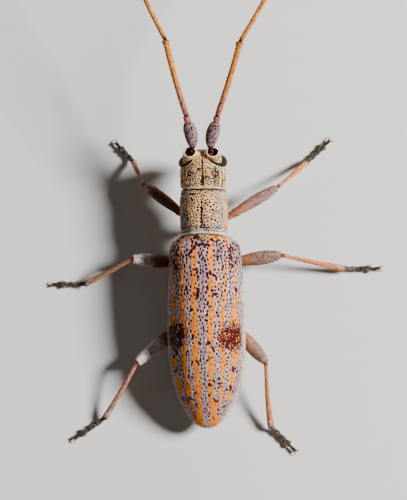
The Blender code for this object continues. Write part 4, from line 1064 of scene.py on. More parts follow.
def headCore(look):
    low, high = look["levels"][0][0], look["levels"][-1][0]
    z = low + (high - low) * (1 - np.cos(np.pi * np.linspace(0, 1, 50))) / 2
    half, front, back = along(look["levels"], z).T
    angle = turns(90, 0.5)
    cosine, sine = squared(angle, np.where(angle < np.pi, look["napeSquareness"], look["faceSquareness"]))
    x = half[:, None] * cosine
    y = ((front + back) / 2)[:, None] + ((back - front) / 2)[:, None] * sine
    return loft(np.stack((x, y, np.broadcast_to(z[:, None], x.shape)), -1))


def revolved(base, tip, profile, sides):     # a turned form: share of the way up, radius
    base, tip = np.array(base, float), np.array(tip, float)
    profile = np.array(profile, float)
    axis = tip - base
    level = unit(np.cross(axis, (0.0, 1.0, 0.3)))
    upright = unit(np.cross(level, axis))
    angle = turns(sides)
    ring = np.cos(angle)[:, None] * level + np.sin(angle)[:, None] * upright
    return loft(base + axis * profile[:, :1, None] + ring * profile[:, 1:, None])


def ellipsoid(centre, radii, sides=28):
    t = np.linspace(0.02, np.pi - 0.02, sides // 2)
    angle = turns(sides)
    ring = np.stack((np.outer(np.sin(t), np.cos(angle)), np.outer(np.sin(t), np.sin(angle)),
                     np.repeat(np.cos(t)[:, None], sides, 1)), -1)
    return loft(np.array(centre) + ring * np.array(radii))


def makeHead(look):
    shapes = [headCore(look)]
    for sign in leftAndRight.values():
        shapes.append(revolved(mirrored(look["tubercleRoot"], sign), mirrored(look["socket"], sign),
                               look["cup"], 48))
        shapes.append(ellipsoid(mirrored(look["cheek"], sign), look["cheekRadii"]))
    neck = np.stack((np.zeros(12), np.linspace(-2.2, -1.55, 12), np.full(12, 1.76)), 1)
    shapes.append(loft(tubeRings(neck, *look["neck"], 60, squareness=2.3)))
    plate = np.stack((np.zeros(10), np.linspace(-3.2, -3.37, 10), np.linspace(1.16, 0.98, 10)), 1)
    shapes.append(loft(tubeRings(plate, *look["clypeus"], 40, squareness=3.0)))
    mesh = fuse("head", shapes, look["voxel"], 5)
    points, normals = readPoints(mesh), readPoints(mesh, "normal")
    x, y, z = points.T
    side = np.abs(x)
    eyeLine = evenly(look["eye"], 60)
    eyeAway, which = nearest(np.stack((side, y, z), 1), eyeLine[:, :3])
    eyeAway = eyeAway - eyeLine[which, 3]
    onTop = ease(z, 2.2, 2.5)
    front = ease(-y, 3.05, 3.25) * (1 - ease(z, 2.45, 2.6))
    groove = bell(x, 0.0, 0.022) * ease(z, 1.15, 1.4) * ease(-y, 1.9, 2.0)
    valley = bell(x, 0.0, 0.12) * bell(y, -3.28, 0.2) * ease(z, 2.2, 2.5)
    sulcus = bell(eyeAway, 0.025, 0.035)
    seam = bell(z - 1.15 + 0.25 * side ** 2, 0.0, 0.018) * ease(-y, 3.1, 3.2) * (side < 0.45)
    rim = ease(y, -1.905, -1.875) * (1 - ease(y, -1.845, -1.815)) * ease(z, 1.2, 1.5)
    sunk = (look["grooveDepth"] * groove + look["valleyDepth"] * valley + look["sulcusDepth"] * sulcus
            + look["seamDepth"] * seam - look["rimHeight"] * rim)
    writePoints(mesh, points - normals * sunk[:, None])
    cup, cupEdge = np.zeros(len(points)), np.zeros(len(points))
    for sign in leftAndRight.values():
        centre = mirrored(look["socket"], sign)
        axis = unit(centre - mirrored(look["tubercleRoot"], sign))
        offset = points - centre
        height = offset @ axis
        radial = np.linalg.norm(offset - height[:, None] * axis, axis=1)
        cup = np.maximum(cup, (1 - ease(radial, 0.195, 0.215)) * ease(height, -0.22, -0.18)
                         * (1 - ease(height, 0.02, 0.05)))
        cupEdge = np.maximum(cupEdge, bell(radial, 0.247, 0.035) * bell(height, 0.0, 0.06))
    beforeEye = ease(-y + 0.64 * side, 3.17, 3.24) * ease(side, 0.36, 0.46) * ease(z, 1.9, 2.1)
    pocket = bell(eyeAway, 0.075, 0.05) * beforeEye
    spacing = look["pitSpacing"] + 0.018 * spots(points, 0.3, 51, -0.2, 0.6) + 0.02 * front
    radius = look["pitRadius"] + 0.012 * spots(points, 0.16, 52, 0.0, 0.7)
    radius = radius * (1 - 0.45 * ease(-y, 3.1, 3.3))
    smoothPlaces = most(cup, cupEdge, rim, ease(-eyeAway, -0.07, -0.02), ease(y, -1.85, -1.81), pocket)
    hollows, pits, brim = punch(mesh, spacing, radius, look["pitDepth"] * (1 - smoothPlaces), 53)
    hollows = hollows * (1 - smoothPlaces)
    wander = 0.006 * np.sin(y * 14) - 0.045      # the line lies a little towards the beetle's right
    opened = ease(y, -2.48, -2.12)      # towards the nape the line splits in two
    fromStrand = np.abs(np.abs(x - wander) - 0.04 * opened)
    lineHalf = 0.014 - 0.006 * bell(y, -2.55, 0.14) + 0.006 * opened
    medianLine = (1 - ease(fromStrand, lineHalf, lineHalf + 0.012)) * onTop * ease(-y, 1.93, 1.96)
    double = 0.45 * opened * (np.abs(x - wander) < 0.04) * onTop * ease(-y, 1.93, 1.96)
    behindEye = ease(y, -2.78, -2.66) * ease(z, 1.2, 1.5) * (1 - ease(y, -1.97, -1.93))
    worn = spots(points, (0.1, 0.14, 0.1), 59, -0.55, 0.1)
    lines = behindEye * worn * np.maximum(bell(side, 0.735, 0.034), bell(side, 0.845, 0.028))
    darkSides = behindEye * worn * np.maximum(bell(side, 0.79, 0.022), bell(side, 0.67, 0.03) * 0.6)
    patchy = ease(grain(points, 0.08, 54) + 0.3 * grain(points, 0.25, 55), -0.3, 0.4)
    dusk = bell(np.abs(x + 0.045), 0.51, 0.23) * bell(y, -2.36, 0.42) * ease(z, 1.9, 2.2)
    darkPatch = ease(dusk + 0.85 * grain(points, (0.024, 0.042, 0.024), 56)
                     + 0.15 * grain(points, 0.12, 58), 0.66, 0.9)
    nape = ease(y, -1.83, -1.805)
    bare = most(hollows, medianLine, double, darkSides * 0.8, cup, nape, darkPatch * 0.75)
    ochre = clamp(0.35 + 0.4 * patchy + 0.6 * lines + pocket - front * 0.5 - 0.25 * dusk) * (1 - rim)
    lie = np.stack((x * 0.5, 0.75 - front, -0.1 - front * 0.8), 1)
    clear = clearOf(points, lie, look["hairLength"], pits)
    pale = most(rim, cupEdge * 1.2, 0.6 * patchy * (1 - pocket), lines * 0.7, 0.38 * brim, 0.2 * pocket,
                bell(eyeAway, 0.035, 0.022) * 0.9, bell(eyeAway, 0.145, 0.022) * beforeEye)
    pale = clamp(pale)
    mouth = ease(-z, -1.12, -0.98)
    paint(mesh, run=points, ochre=ochre, bare=bare * (1 - 0.8 * lines) * (1 - 0.75 * cup), pale=pale,
          tone=np.maximum(mouth * 0.8, cup),
          thick=(1 - bare) * clear * (1 - ease(-eyeAway, -0.03, 0.0)) * (1 - nape), lie=lie,
          rootMap=mapRound(x, z - 1.75, (y + 3.6) / 2.2))
    growHairs("headHairs", mesh, headFinish, 57,
              perMm2=1300.0, length=look["hairLength"], lift=0.2, disorder=0.22)
    finishPiece("headShell", mesh, headFinish, ("head",))


# the eye's colour holds a painted sheen: a grey cloud over its middle, going near-black towards its rim
eyeFinish, wire, shell = newMaterial("eyeLens")
paintedSheen = readPaint(wire, "run", 1).noise((3, 3, 3), 1.0).between(0.3, 0.7).blend(
    srgb(10, 11, 10), srgb(24, 25, 23))
feed(shell, {"Base Color": readPaint(wire, "tone").blend(paintedSheen, srgb(10, 9, 9))},
     {"Roughness": 0.42, "Specular IOR Level": 0.1})


def makeEye(side, look):
    rows, columns = 150, 76
    path = evenly(look["eye"], rows)
    spine = mirrored(path[:, :3], leftAndRight[side])
    t = np.linspace(0, 1, rows)
    closing = rounded(np.abs(t - 0.5), 0.44, 0.06, 0) + 0.01
    across, bulge = path[:, 3] * closing, path[:, 4] * closing
    direction = unit(np.gradient(spine, axis=0))
    outward = spine - look["eyeMiddle"]
    outward = unit(outward - (outward * direction).sum(1, keepdims=True) * direction)
    wide = np.cross(direction, outward)
    angle = turns(columns)
    girth = np.cumsum(np.linalg.norm(np.diff(spine, axis=0, prepend=spine[:1]), axis=1))
    u = girth[:, None] * np.ones(columns)
    v = (across + bulge)[:, None] / 2 * (np.abs(angle - np.pi)[None, :])
    size = look["facet"]
    rowStep = size * 0.866               # six-sided facets: rows closer than columns, every second shifted
    row = np.round(u / rowStep)
    shift = (row % 2) * 0.5
    column = np.round(v / size - shift)
    away = np.hypot(u - row * rowStep, v - (column + shift) * size)
    dome = look["facetHeight"] * clamp(1 - (away / (size * 0.55)) ** 2)
    rings = (spine[:, None] + wide[:, None] * ((across[:, None] + dome) * np.cos(angle))[..., None]
             + outward[:, None] * ((bulge[:, None] + dome) * np.sin(angle))[..., None])
    mesh = makeMesh("eye", loft(rings))
    points = readPoints(mesh)
    # the painted sheen fades to near-black towards the eye's rim
    darkRimBeyondSheen = np.tile(clamp(1 - np.sin(angle) * 1.6), rows)
    paint(mesh, run=points, tone=np.concatenate((darkRimBeyondSheen, (0, 0))))
    finishPiece("eyeLens_" + side, mesh, eyeFinish, ("eye_" + side,))


makeHead(headLook)
for side in leftAndRight:
    makeEye(side, headLook)
print("head")


# Mouthparts

jawFinish = shellMaterial("jawShell", {
    "light": (96, 44, 24), "dark": (24, 10, 8), "rough": 0.22, "shine": 0.5})
feelerFinish = downMaterial("feelerDown", {
    "greyDark": (146, 80, 62), "greyLight": (216, 168, 150), "thin": 0.42, "cover": 0.7,
    "ochreDark": (176, 98, 18), "ochreLight": (236, 164, 62),
    "shell": (160, 84, 34), "shellDark": (92, 32, 14), "hole": (62, 16, 10),
    "holeDark": (40, 12, 8), "rough": 0.5})

mouthLook = {
    # out, y, z, half width, half height
    "jaw": ((0.34, -3.02, 1.02, 0.17, 0.2), (0.36, -3.08, 0.88, 0.15, 0.18),
            (0.33, -3.14, 0.74, 0.11, 0.14), (0.22, -3.17, 0.62, 0.07, 0.09),
            (0.09, -3.18, 0.55, 0.03, 0.035), (0.05, -3.18, 0.54, 0.01, 0.01)),
    # y, z, half width, half height
    "upperLip": ((-3.3, 1.02, 0.26, 0.05), (-3.33, 0.93, 0.27, 0.06), (-3.31, 0.84, 0.22, 0.045),
                 (-3.3, 0.8, 0.12, 0.02)),
    "underLip": (0, -2.72, 0.96), "underLipRadii": (0.3, 0.26, 0.1),
    "feelers": {     # each joint: out, y, z, and the thickness along them
        "cheekFeeler": (((0.4, -2.8, 0.88), (0.5, -2.9, 0.76), (0.54, -3.04, 0.66),
                         (0.5, -3.2, 0.56)), 0.055),
        "lipFeeler": (((0.14, -2.76, 0.86), (0.18, -2.86, 0.72), (0.2, -3.0, 0.62),
                       (0.17, -3.1, 0.54)), 0.042),
    },
}


def jointedFeeler(joints, radius, sign):     # a short feeler, thick at each joint's far end
    joints = mirrored(joints, sign)
    shapes = []
    for k, (start, end) in enumerate(zip(joints[:-1], joints[1:])):
        t = np.linspace(0, 1, 22)
        last = k == len(joints) - 2
        size = radius * (0.55 + 0.45 * np.sin(np.pi * clamp(t) ** (0.8 if last else 1.5) * 0.9))
        size = size * rounded(t, 0.86, 0.14, 0.02)
        path = start + (end + (end - start) * 0.08 - start) * t[:, None]
        shapes.append(loft(tubeRings(path, size, size, 18, up=(1, 0.2, 0.1))))
    return shapes


def makeMouth(look):
    for side, sign in leftAndRight.items():
        path = evenly(look["jaw"], 60)
        rings = tubeRings(mirrored(path[:, :3], sign), path[:, 3], path[:, 4], 36, up=(0, 1, 0.1),
                          squareness=2.4)
        mesh = makeMesh("jaw", loft(rings))
        points = readPoints(mesh)
        paint(mesh, run=points, tone=ease(-points[:, 2], -0.8, -0.6))
        finishPiece("jaw_" + side, mesh, jawFinish, ("mandible_" + side,))
    y, z, wide, thick = evenly(look["upperLip"], 40).T
    path = np.stack((y * 0, y, z), 1)
    shapes = [loft(tubeRings(path, wide, thick, 60, up=(0, -1, 0), squareness=2.6)),
              ellipsoid(look["underLip"], look["underLipRadii"], 40)]
    for sign in leftAndRight.values():
        for joints, radius in look["feelers"].values():
            shapes += jointedFeeler(joints, radius, sign)
    mesh = makeMesh("mouth", merge(shapes))
    points = readPoints(mesh)
    paint(mesh, run=points, ochre=0.3, bare=0.0, pale=0.2, tone=0.35,
          thick=1.0, lie=[(0.0, -0.4, -1.0)],
          rootMap=flatPoints(points[:, 0] + 0.5, points[:, 2]))
    growHairs("mouthBristles", mesh, feelerFinish, 61,
              perMm2=220.0, length=0.1, lift=0.5, disorder=0.3, thickness=0.004)
    finishPiece("mouthparts", mesh, feelerFinish, ())


makeMouth(mouthLook)
print("mouthparts")


# Breast and belly

bellyFinish = downMaterial("bellyDown", {
    "greyDark": (112, 98, 96), "greyLight": (186, 176, 168), "thin": 0.36})

bellyLook = {
    "rows": 300, "columns": 190, "frontY": 0.0, "endY": 7.2,
    "bellies": ((0.0, 0.92), (0.1, 0.86), (0.6, 0.66), (1.6, 0.5), (2.8, 0.47), (4.0, 0.52),
                (5.5, 0.66), (6.6, 0.86), (7.2, 1.08)),
    "inset": 0.105, "squareness": 2.4,
    "plates": (3.4, 4.35, 5.15, 5.9, 6.55, 7.25),     # where one belly plate ends, y
    "plateStep": 0.035, "seamDepth": 0.03, "pits": (0.15, 0.026, 0.012),      # spacing, radius, depth
}


def makeBelly(look):
    y = np.linspace(look["frontY"], look["endY"], look["rows"])
    half = line(elytraLook["halfWidths"], np.maximum(y, 0.12)) - look["inset"]
    rearRound = rounded(y, 6.9, 0.32, 0)
    half = half * rearRound
    margin = line(elytraLook["margins"], y)
    belly = line(look["bellies"], y)
    lift = np.zeros(len(y))
    for front, back in zip(look["plates"][:-1], look["plates"][1:]):
        share = clamp((y - front) / (back - front))
        lift = np.where((y > front) & (y <= back), look["plateStep"] * (1 - share) ** 3
                        * ease(y, front, front + 0.02), lift)
    lower = look["columns"] - 40
    angle = np.pi + np.pi * np.arange(lower) / (lower - 1)
    cosine, sine = squared(angle, look["squareness"])
    rings = np.empty((len(y), look["columns"], 3))
    rings[:, :, 1] = y[:, None]
    depth = (margin - 0.02 - belly)[:, None]
    rings[:, :lower, 0] = (half - lift)[:, None] * cosine
    rings[:, :lower, 2] = (margin - 0.02)[:, None] + (depth - lift[:, None]) * sine
    back = np.linspace(1, -1, 40)[None, :]
    rings[:, lower:, 0] = (half - lift - 0.03)[:, None] * back
    rings[:, lower:, 2] = (margin + 0.1)[:, None] + 0.5 * (1 - back ** 2) * rearRound[:, None]
    mesh = makeMesh("belly", loft(rings))
    points, normals = readPoints(mesh), readPoints(mesh, "normal")
    x, y, z = points.T
    side, under = np.abs(x), ease(-normals[:, 2], 0.0, 0.4)
    breast = 1 - ease(y, 3.3, 3.42)
    seam = look["seamDepth"]
    sunk = (seam * bell(x, 0, 0.03) * breast * ease(y, 1.2, 1.5) * under
            + seam * bell(side - 1.1 - 0.03 * (y - 1.5), 0.0, 0.03) * breast * ease(y, 0.5, 0.8)
            + seam * bell(y - 1.22 - 0.25 * side, 0.0, 0.035) * (y < 2.2)
            + 0.035 * bell(y, 3.42, 0.03))       # where the breast meets the belly
    writePoints(mesh, points - normals * sunk[:, None])
    hollows = punch(mesh, *look["pits"], 71)[0]
    patchy = spots(points, 0.35, 72, -0.4, 0.5)
    seams = clamp(sunk / seam)
    paint(mesh, run=points, ochre=0.18 * patchy + 0.35 * bell(side, 1.25, 0.12), pale=0.25 * patchy,
          bare=np.maximum(hollows * 0.8, seams * 0.9), tone=0.0,
          thick=(1 - hollows) * (normals[:, 2] < 0.3),
          lie=np.stack((x * 0.3, np.ones(len(x)), x * 0), 1),
          rootMap=mapRound(x, 1.6 - z, y / 7.4))
    growHairs("bellyHairs", mesh, bellyFinish, 73,
              perMm2=700.0, length=0.12, lift=0.18, disorder=0.15, thickness=0.0045)
    finishPiece("bellyShell", mesh, bellyFinish, ("thorax", "abdomen"))


makeBelly(bellyLook)
print("breast and belly")


# Legs

groundZ = -standHeight
legLook = {
    # hips: out, y, z, radius
    "hips": {"front": (0.36, -0.52, 0.82, 0.3), "middle": (0.5, 1.0, 0.55, 0.3),
             "hind": (0.56, 3.02, 0.5, 0.32)},
    "hipDroop": 0.45,
    # knee, ankle and tip of the foot: out, y and height above the ground
    "joints": {
        "front_left": ((2.46, -2.12, 1.5), (3.0, -3.12, 0.33), (3.86, -4.05, 0.13)),
        "front_right": ((2.87, -2.0, 1.35), (3.95, -3.04, 0.33), (5.02, -4.05, 0.13)),
        "middle_left": ((2.98, 0.83, 1.4), (4.94, 1.76, 0.33), (6.5, 1.77, 0.13)),
        "middle_right": ((2.99, 0.71, 1.25), (5.47, 1.23, 0.33), (7.05, 1.22, 0.13)),
        "hind_left": ((2.82, 4.99, 1.3), (4.17, 7.12, 0.33), (5.61, 8.1, 0.13)),
        "hind_right": ((2.36, 4.97, 1.3), (2.48, 7.52, 0.33), (3.58, 8.63, 0.13)),
    },
    "thigh": ((0.0, 0.11), (0.1, 0.12), (0.22, 0.16), (0.36, 0.225), (0.5, 0.268), (0.64, 0.282),
              (0.78, 0.262), (0.9, 0.205), (0.97, 0.155), (1.0, 0.12)),
    "shin": ((0.0, 0.07), (0.04, 0.088), (0.12, 0.075), (0.35, 0.084), (0.62, 0.098), (0.85, 0.114),
             (0.97, 0.122), (1.0, 0.1)),
    # how far the dark bare foot of each thigh reaches, how dark it is, how pale the rest is; on the left
    # thighs the dark foot is partly painted shade, the body's shadow over them
    "darkFootAndShade": {"front_left": (0.86, 0.85, 0.5), "middle_left": (0.66, 0.98, 1.3),
                 "hind_left": (0.53, 0.92, 1.2), "front_right": (0.34, 0.45, 0.12),
                 "middle_right": (0.3, 0.45, 0.12), "hind_right": (0.38, 0.5, 0.12)},
    "warmth": {"front": 0.5, "middle": 0.5, "hind": 0.8},      # how brown the right thighs' feet are
    "girth": {"front": 0.82, "middle": 1.0, "hind": 1.0},
    "shinBend": {"front": 0.03, "middle": 0.05, "hind": 0.09},
    # the foot: share of its length where each joint starts and ends, half widths there
    "foot": ((0.0, 0.3, 0.066, 0.122), (0.27, 0.49, 0.07, 0.13), (0.46, 0.7, 0.076, 0.14)),
    "clawJoint": (0.6, 0.92, 0.04, 0.072),
    "footHeights": ((0.0, 0.3), (0.15, 0.2), (0.45, 0.155), (0.7, 0.16), (0.9, 0.15)),
    "claw": 0.2, "clawSplay": 0.1, "clawRadii": (0.034, 0.045),
    # pits: spacing, radius, depth
    "hipPits": (0.1, 0.018, 0.008), "thighPits": (0.07, 0.019, 0.008), "shinPits": (0.09, 0.015, 0.007),
    "lobe": (0.62, 0.02, 0.085),       # share of the width, how far apart at the root and at the end
    "steps": 130,
    "spur": 0.17, "spurRadii": (0.022, 0.004), "thighBall": (0.17, 0.17, 0.15),
}


def sideways(direction):
    return unit(np.cross(direction, (0.0, 0.0, 1.0)))


def curvePath(a, b, c, count):      # from a to c, drawn towards b
    t = np.linspace(0, 1, count)[:, None]
    return a * (1 - t) ** 2 + b * 2 * t * (1 - t) + c * t * t


def limbPaint(mesh, path, mapColumn):      # the lie of the down runs along the limb
    points = readPoints(mesh)
    direction = unit(np.gradient(path, axis=0))
    length = np.concatenate(([0], np.cumsum(np.linalg.norm(np.diff(path, axis=0), axis=1))))
    level = sideways(direction)
    upright = np.cross(level, direction)
    at = nearest(points, path)[1]
    offset = points - path[at]
    forward, across, height = ((offset * axis[at]).sum(1) for axis in (direction, level, upright))
    reached = length[at] + forward
    share = clamp(reached / length[-1])
    paint(mesh, run=np.stack((across, reached, height), 1), lie=direction[at],
          rootMap=flatPoints(mapColumn + 0.2 * (np.arctan2(across, height) / 6.3 + 0.5), share))
    return points, share, across


def finishLimb(kind, where, mesh, material, nodes, seed, perMm2, length, lift,
               thickness=0.0045):
    growHairs(kind + "Hairs_" + where, mesh, material, seed, perMm2, length, lift,
              disorder=0.22, thickness=thickness, onBody=False)
    finishPiece(kind + "_" + where, mesh, material, nodes, False)


def makeLeg(segment, side, look, seed):
    leg = segment + "_" + side
    sign, girth = leftAndRight[side], look["girth"][segment]
    hip = raised(mirrored(look["hips"][segment][:3], sign))
    radius = look["hips"][segment][3]
    knee, ankle, tip = (mirrored(p, sign) + (0, 0, groundZ) for p in look["joints"][leg])

    coxa = makeMesh("coxa", ellipsoid(hip, (radius * 0.98, radius, radius * 0.98), 56))
    points = readPoints(coxa)
    paint(coxa, run=points, ochre=0.2, pale=0.2, tone=0.0, thick=1.0,
          bare=punch(coxa, *look["hipPits"], seed)[0] * 0.8, lie=points - hip + (0, 0.5, 0),
          rootMap=flatPoints(points[:, 0] * 0.3 + 0.5, points[:, 1] * 0.2 + 0.5))
    finishPiece("hip_" + leg, coxa, bellyFinish, ("coxa_" + leg,), False)

    outward = unit(unit((knee - hip) * (1, 1, 0)) - (0, 0, look["hipDroop"]))
    start = hip + outward * radius * 0.8
    bend = (start + knee) / 2
    bend[2] = start[2]
    path = curvePath(start, bend, knee, look["steps"])
    share = np.linspace(0, 1, look["steps"])
    thick = line(look["thigh"], share) * np.where(share > 0.3, girth, 1.0)
    thick = thick * rounded(share, 0.975, 0.0255)
    ball = ellipsoid(hip + outward * radius * 1.02, look["thighBall"], 40)
    femur = makeMesh("femur", merge([loft(tubeRings(path, thick * 0.97, thick, 64)), ball]))
    points, share = limbPaint(femur, path, 0.02)[:2]
    body = ease(share, 0.1, 0.2) * (1 - ease(share, 0.93, 0.97))
    hollows, pits = punch(femur, *look["thighPits"], seed + 1)[:2]
    hollows = hollows * body
    flecks = spots(points, 0.028, seed + 2, 0.15, 0.5) * body
    bareKnee = ease(share, 0.965, 0.99)
    reach, strength, paleness = look["darkFootAndShade"][leg]
    fade = share + grain(points, 0.12, seed + 5) * 0.06
    # the dark foot is bare shell, and on the left thighs partly painted shade standing for the body's
    # shadow
    bareFootAndShade = strength * (1 - ease(fade, reach - 0.16, reach + 0.04))
    whitish = ease(share + grain(points, 0.05, seed + 5) * 0.06, reach - 0.12, reach + 0.09)
    whitish = whitish * (1 - bareKnee)
    if side == "left":
        flecks, hollows = flecks * (1 - 0.6 * whitish), hollows * (1 - 0.5 * whitish)
    warm = 0.05
    if side == "right":
        warm = 0.3 + look["warmth"][segment] * (1 - ease(share, 0.2, 0.75))
    paint(femur, ochre=clamp(warm + 0.2 * grain(points, 0.3, seed + 3)),
          bare=most(hollows * 0.8, flecks * 0.4, bareFootAndShade * 0.12, bareKnee * 0.35),
          pale=0.04 + paleness * whitish,
          tone=clamp(bareFootAndShade + bareKnee * 0.3),
          thick=clamp(body * (1 - 0.7 * flecks) * (1 - 0.8 * bareFootAndShade) + 0.08)
          * clearOf(points, knee - hip, 0.085, pits))
    finishLimb("thigh", leg, femur, thighFinish, ("femur_" + leg,), seed + 4,
               perMm2=760.0, length=0.085, lift=0.18)

    down = unit(ankle - knee)
    level = sideways(down)
    bend = look["shinBend"][segment]
    bow = (knee + ankle) / 2 + (0, 0, bend) - level * sign * bend * 0.8
    path = curvePath(knee + (0, 0, -0.02), bow, ankle + (0, 0, 0.02), look["steps"])
    share = np.linspace(0, 1, look["steps"])
    thick = line(look["shin"], share) * (0.9 if segment == "front" else 1.0)
    thick = thick * rounded(share, 0.98, 0.0205)
    shapes = [loft(tubeRings(path, thick, thick * 0.9, 48))]
    for turn in (-1, 1):             # two short spurs at the shin's end
        root = ankle - down * 0.06 + level * turn * 0.09 + (0, 0, -0.03)
        spurTip = root + down * look["spur"] + level * turn * 0.05
        spur = curvePath(root, (root + spurTip) / 2 + (0, 0, 0.015), spurTip, 14)
        size = np.linspace(*look["spurRadii"], 14)
        shapes.append(loft(tubeRings(spur, size, size, 12)))
    tibia = makeMesh("tibia", merge(shapes))
    points, share = limbPaint(tibia, path, 0.27)[:2]
    hollows = punch(tibia, *look["shinPits"], seed + 6)[0]
    brush = ease(share, 0.55, 0.95)
    bareKnee = 1 - ease(share, 0.03, 0.08)
    paleFlecks = spots(points, (0.05, 0.05, 0.05), seed + 7, 0.1, 0.5)
    shinWarmth = (0.25 if side == "left" else 0.75) - 0.25 * brush
    specks = spots(points, 0.03, seed + 12, 0.25, 0.5)
    paint(tibia, ochre=clamp(shinWarmth + 0.4 * grain(points, 0.25, seed + 9)),
          bare=most(hollows * 0.6, bareKnee * 0.4, specks * 0.35),
          pale=0.08 + 0.3 * paleFlecks + (0.5 if side == "left" else 0.2) * brush,
          tone=clamp(bareKnee * 0.6 + ease(share, 0.96, 1.0) * 0.5),
          thick=(0.5 + 0.5 * brush) * (1 - 0.8 * bareKnee))
    finishLimb("shin", leg, tibia, shinFinish, ("tibia_" + leg,), seed + 8,
               perMm2=620.0, length=0.11, lift=0.22)
    makeFoot(leg, ankle, tip, look, seed + 10)


def makeFoot(leg, ankle, tip, look, seed):
    heading = unit((tip - ankle) * (1, 1, 0))
    level = sideways(heading)
    length = np.linalg.norm((tip - ankle)[:2]) - look["claw"] * 0.55
    shapes, pads = [], []

    def at(share, lift, aside=0.0):
        spot = ankle + heading * length * share + level * aside
        return np.array((spot[0], spot[1], groundZ + lift))

    steps = np.linspace(0, 1, 21)
    slope = line(look["footHeights"], steps)

    def joint(startShare, endShare, startHalf, endHalf, aside=0.0, spread=0.0, flat=0.62, lift=0.0):
        t = np.linspace(0, 1, 30)
        share = startShare + (endShare - startShare) * t
        height = np.interp(share, steps, slope) + lift
        spine = np.array([at(s, h, aside * u + spread * u * u) for s, h, u in zip(share, height, t)])
        half = startHalf + (endHalf - startHalf) * t ** 1.3
        half = half * rounded(t, 0.82, 0.185) * rounded(-t, -0.06, 0.065, 0.05)
        return tubeRings(spine, half, half * flat, 30)

    lobeShare, rootApart, endApart = look["lobe"]
    for k, (startShare, endShare, startHalf, endHalf) in enumerate(look["foot"]):
        for lobe in (-1, 1) if k == 2 else (0,):         # the third joint is two lobes
            wide = endHalf * (lobeShare if lobe else 1.0)
            apart = (lobe * rootApart, lobe * endApart)
            shapes.append(loft(joint(startShare, endShare, startHalf, wide, *apart)))
            pads.append(loft(joint(startShare + 0.05, endShare + 0.012, startHalf * 0.9, wide * 1.05,
                                   *apart, flat=0.4, lift=-0.05)))
    startShare, endShare, startHalf, endHalf = look["clawJoint"]
    shapes.append(loft(joint(startShare, endShare + 0.03, startHalf, endHalf, flat=0.8, lift=0.02)))
    shapes.append(ellipsoid(ankle + heading * 0.01 + (0, 0, -0.01), (0.1, 0.1, 0.09), 24))
    foot = makeMesh("foot", merge(shapes))
    path = np.array([at(s, 0.17) for s in np.linspace(0, 1, 40)])
    points, share, across = limbPaint(foot, path, 0.52)
    fringe = ease(np.abs(across), 0.07, 0.12)
    frosted = 0.7 * spots(points, 0.04, seed + 4, 0.12, 0.42) * (1 - ease(share, 0.55, 0.8))
    cloudy = spots(points, 0.15, seed + 1, -0.2, 0.4)
    paint(foot, ochre=0.6 * fringe + 0.1, pale=0.4 * fringe + 0.9 * frosted, thick=0.6 + 0.4 * fringe,
          bare=spots(points, 0.06, seed, 0.0, 0.5) * 0.4 * (1 - frosted),
          tone=(1 - frosted) * (0.15 + 0.25 * cloudy + 0.2 * (share > 0.72)))
    finishLimb("foot", leg, foot, footFinish, ("tarsus_" + leg,), seed + 2,
               perMm2=800.0, length=0.09, lift=0.25)

    sole = makeMesh("sole", merge(pads))
    limbPaint(sole, path, 0.77)
    paint(sole, ochre=1.0, bare=0.0, pale=0.25, tone=0.0, thick=1.0)
    finishLimb("sole", leg, sole, soleFinish, (), seed + 3,
               perMm2=1500.0, length=0.055, lift=0.9)

    claws, (wide, tall) = [], look["clawRadii"]
    root = at(endShare, 0.16)
    for turn in (-1, 1):
        begin = root - heading * 0.03 + level * turn * 0.025
        splay = level * turn * look["clawSplay"]
        knuckle = begin + heading * look["claw"] * 0.75 + splay * 0.4 + (0, 0, 0.06)
        end = begin + heading * look["claw"] * 0.85 + splay
        end[2] = groundZ + 0.03
        claw = curvePath(begin, knuckle, end, 26)
        size = np.linspace(1, 0.06, 26) ** 0.8
        claws.append(loft(tubeRings(claw, wide * size, tall * size, 20)))
    mesh = makeMesh("claws", merge(claws))
    points = readPoints(mesh)
    paint(mesh, run=points, tone=ease(np.linalg.norm(points - root, axis=1), 0.05, 0.2) * 0.7)
    finishPiece("claws_" + leg, mesh, clawFinish, (), False)


thighFinish = downMaterial("thighDown", {
    "greyDark": (104, 76, 70), "greyLight": (178, 153, 142), "pale": (236, 226, 221),
    "ochreDark": (140, 82, 50), "ochreLight": (200, 142, 102), "thin": 0.34, "cover": 0.84,
    "shell": (140, 74, 46), "shellDark": (80, 38, 24), "hole": (56, 26, 22), "holeDark": (32, 14, 12)})
shinFinish = downMaterial("shinDown", {
    "greyDark": (146, 96, 74), "greyLight": (214, 174, 154), "thin": 0.38, "cover": 0.8,
    "ochreDark": (170, 90, 42), "ochreLight": (226, 152, 94), "pale": (236, 222, 214),
    "shell": (160, 82, 46), "shellDark": (104, 48, 28), "hole": (88, 36, 26),
    "holeDark": (52, 20, 16), "rough": 0.55})
footFinish = downMaterial("footDown", {
    "greyDark": (40, 38, 34), "greyLight": (128, 124, 114), "pale": (228, 224, 212),
    "ochreDark": (128, 100, 36), "ochreLight": (220, 186, 96), "thin": 0.42, "cover": 0.72,
    "shell": (36, 32, 28), "shellDark": (16, 14, 13), "hole": (18, 16, 14), "holeDark": (9, 8, 8)})
soleFinish = downMaterial("soleDown", {
    "greyDark": (156, 110, 40), "greyLight": (220, 180, 100), "thin": 0.2,
    "ochreDark": (180, 126, 40), "ochreLight": (236, 192, 100), "relief": 0.8})
clawFinish = shellMaterial("clawShell", {
    "light": (122, 70, 36), "dark": (52, 22, 12), "rough": 0.6, "shine": 0.12})

legSeed = 100
for side in leftAndRight:
    for segment in legLook["hips"]:
        makeLeg(segment, side, legLook, legSeed)
        legSeed += 20
print("legs")


# Feelers

scapeFinish = downMaterial("scapeDown", {
    "greyDark": (124, 92, 92), "greyLight": (194, 168, 166), "thin": 0.36, "cover": 0.8,
    "shell": (74, 30, 24), "shellDark": (38, 13, 11), "hole": (56, 16, 20)})

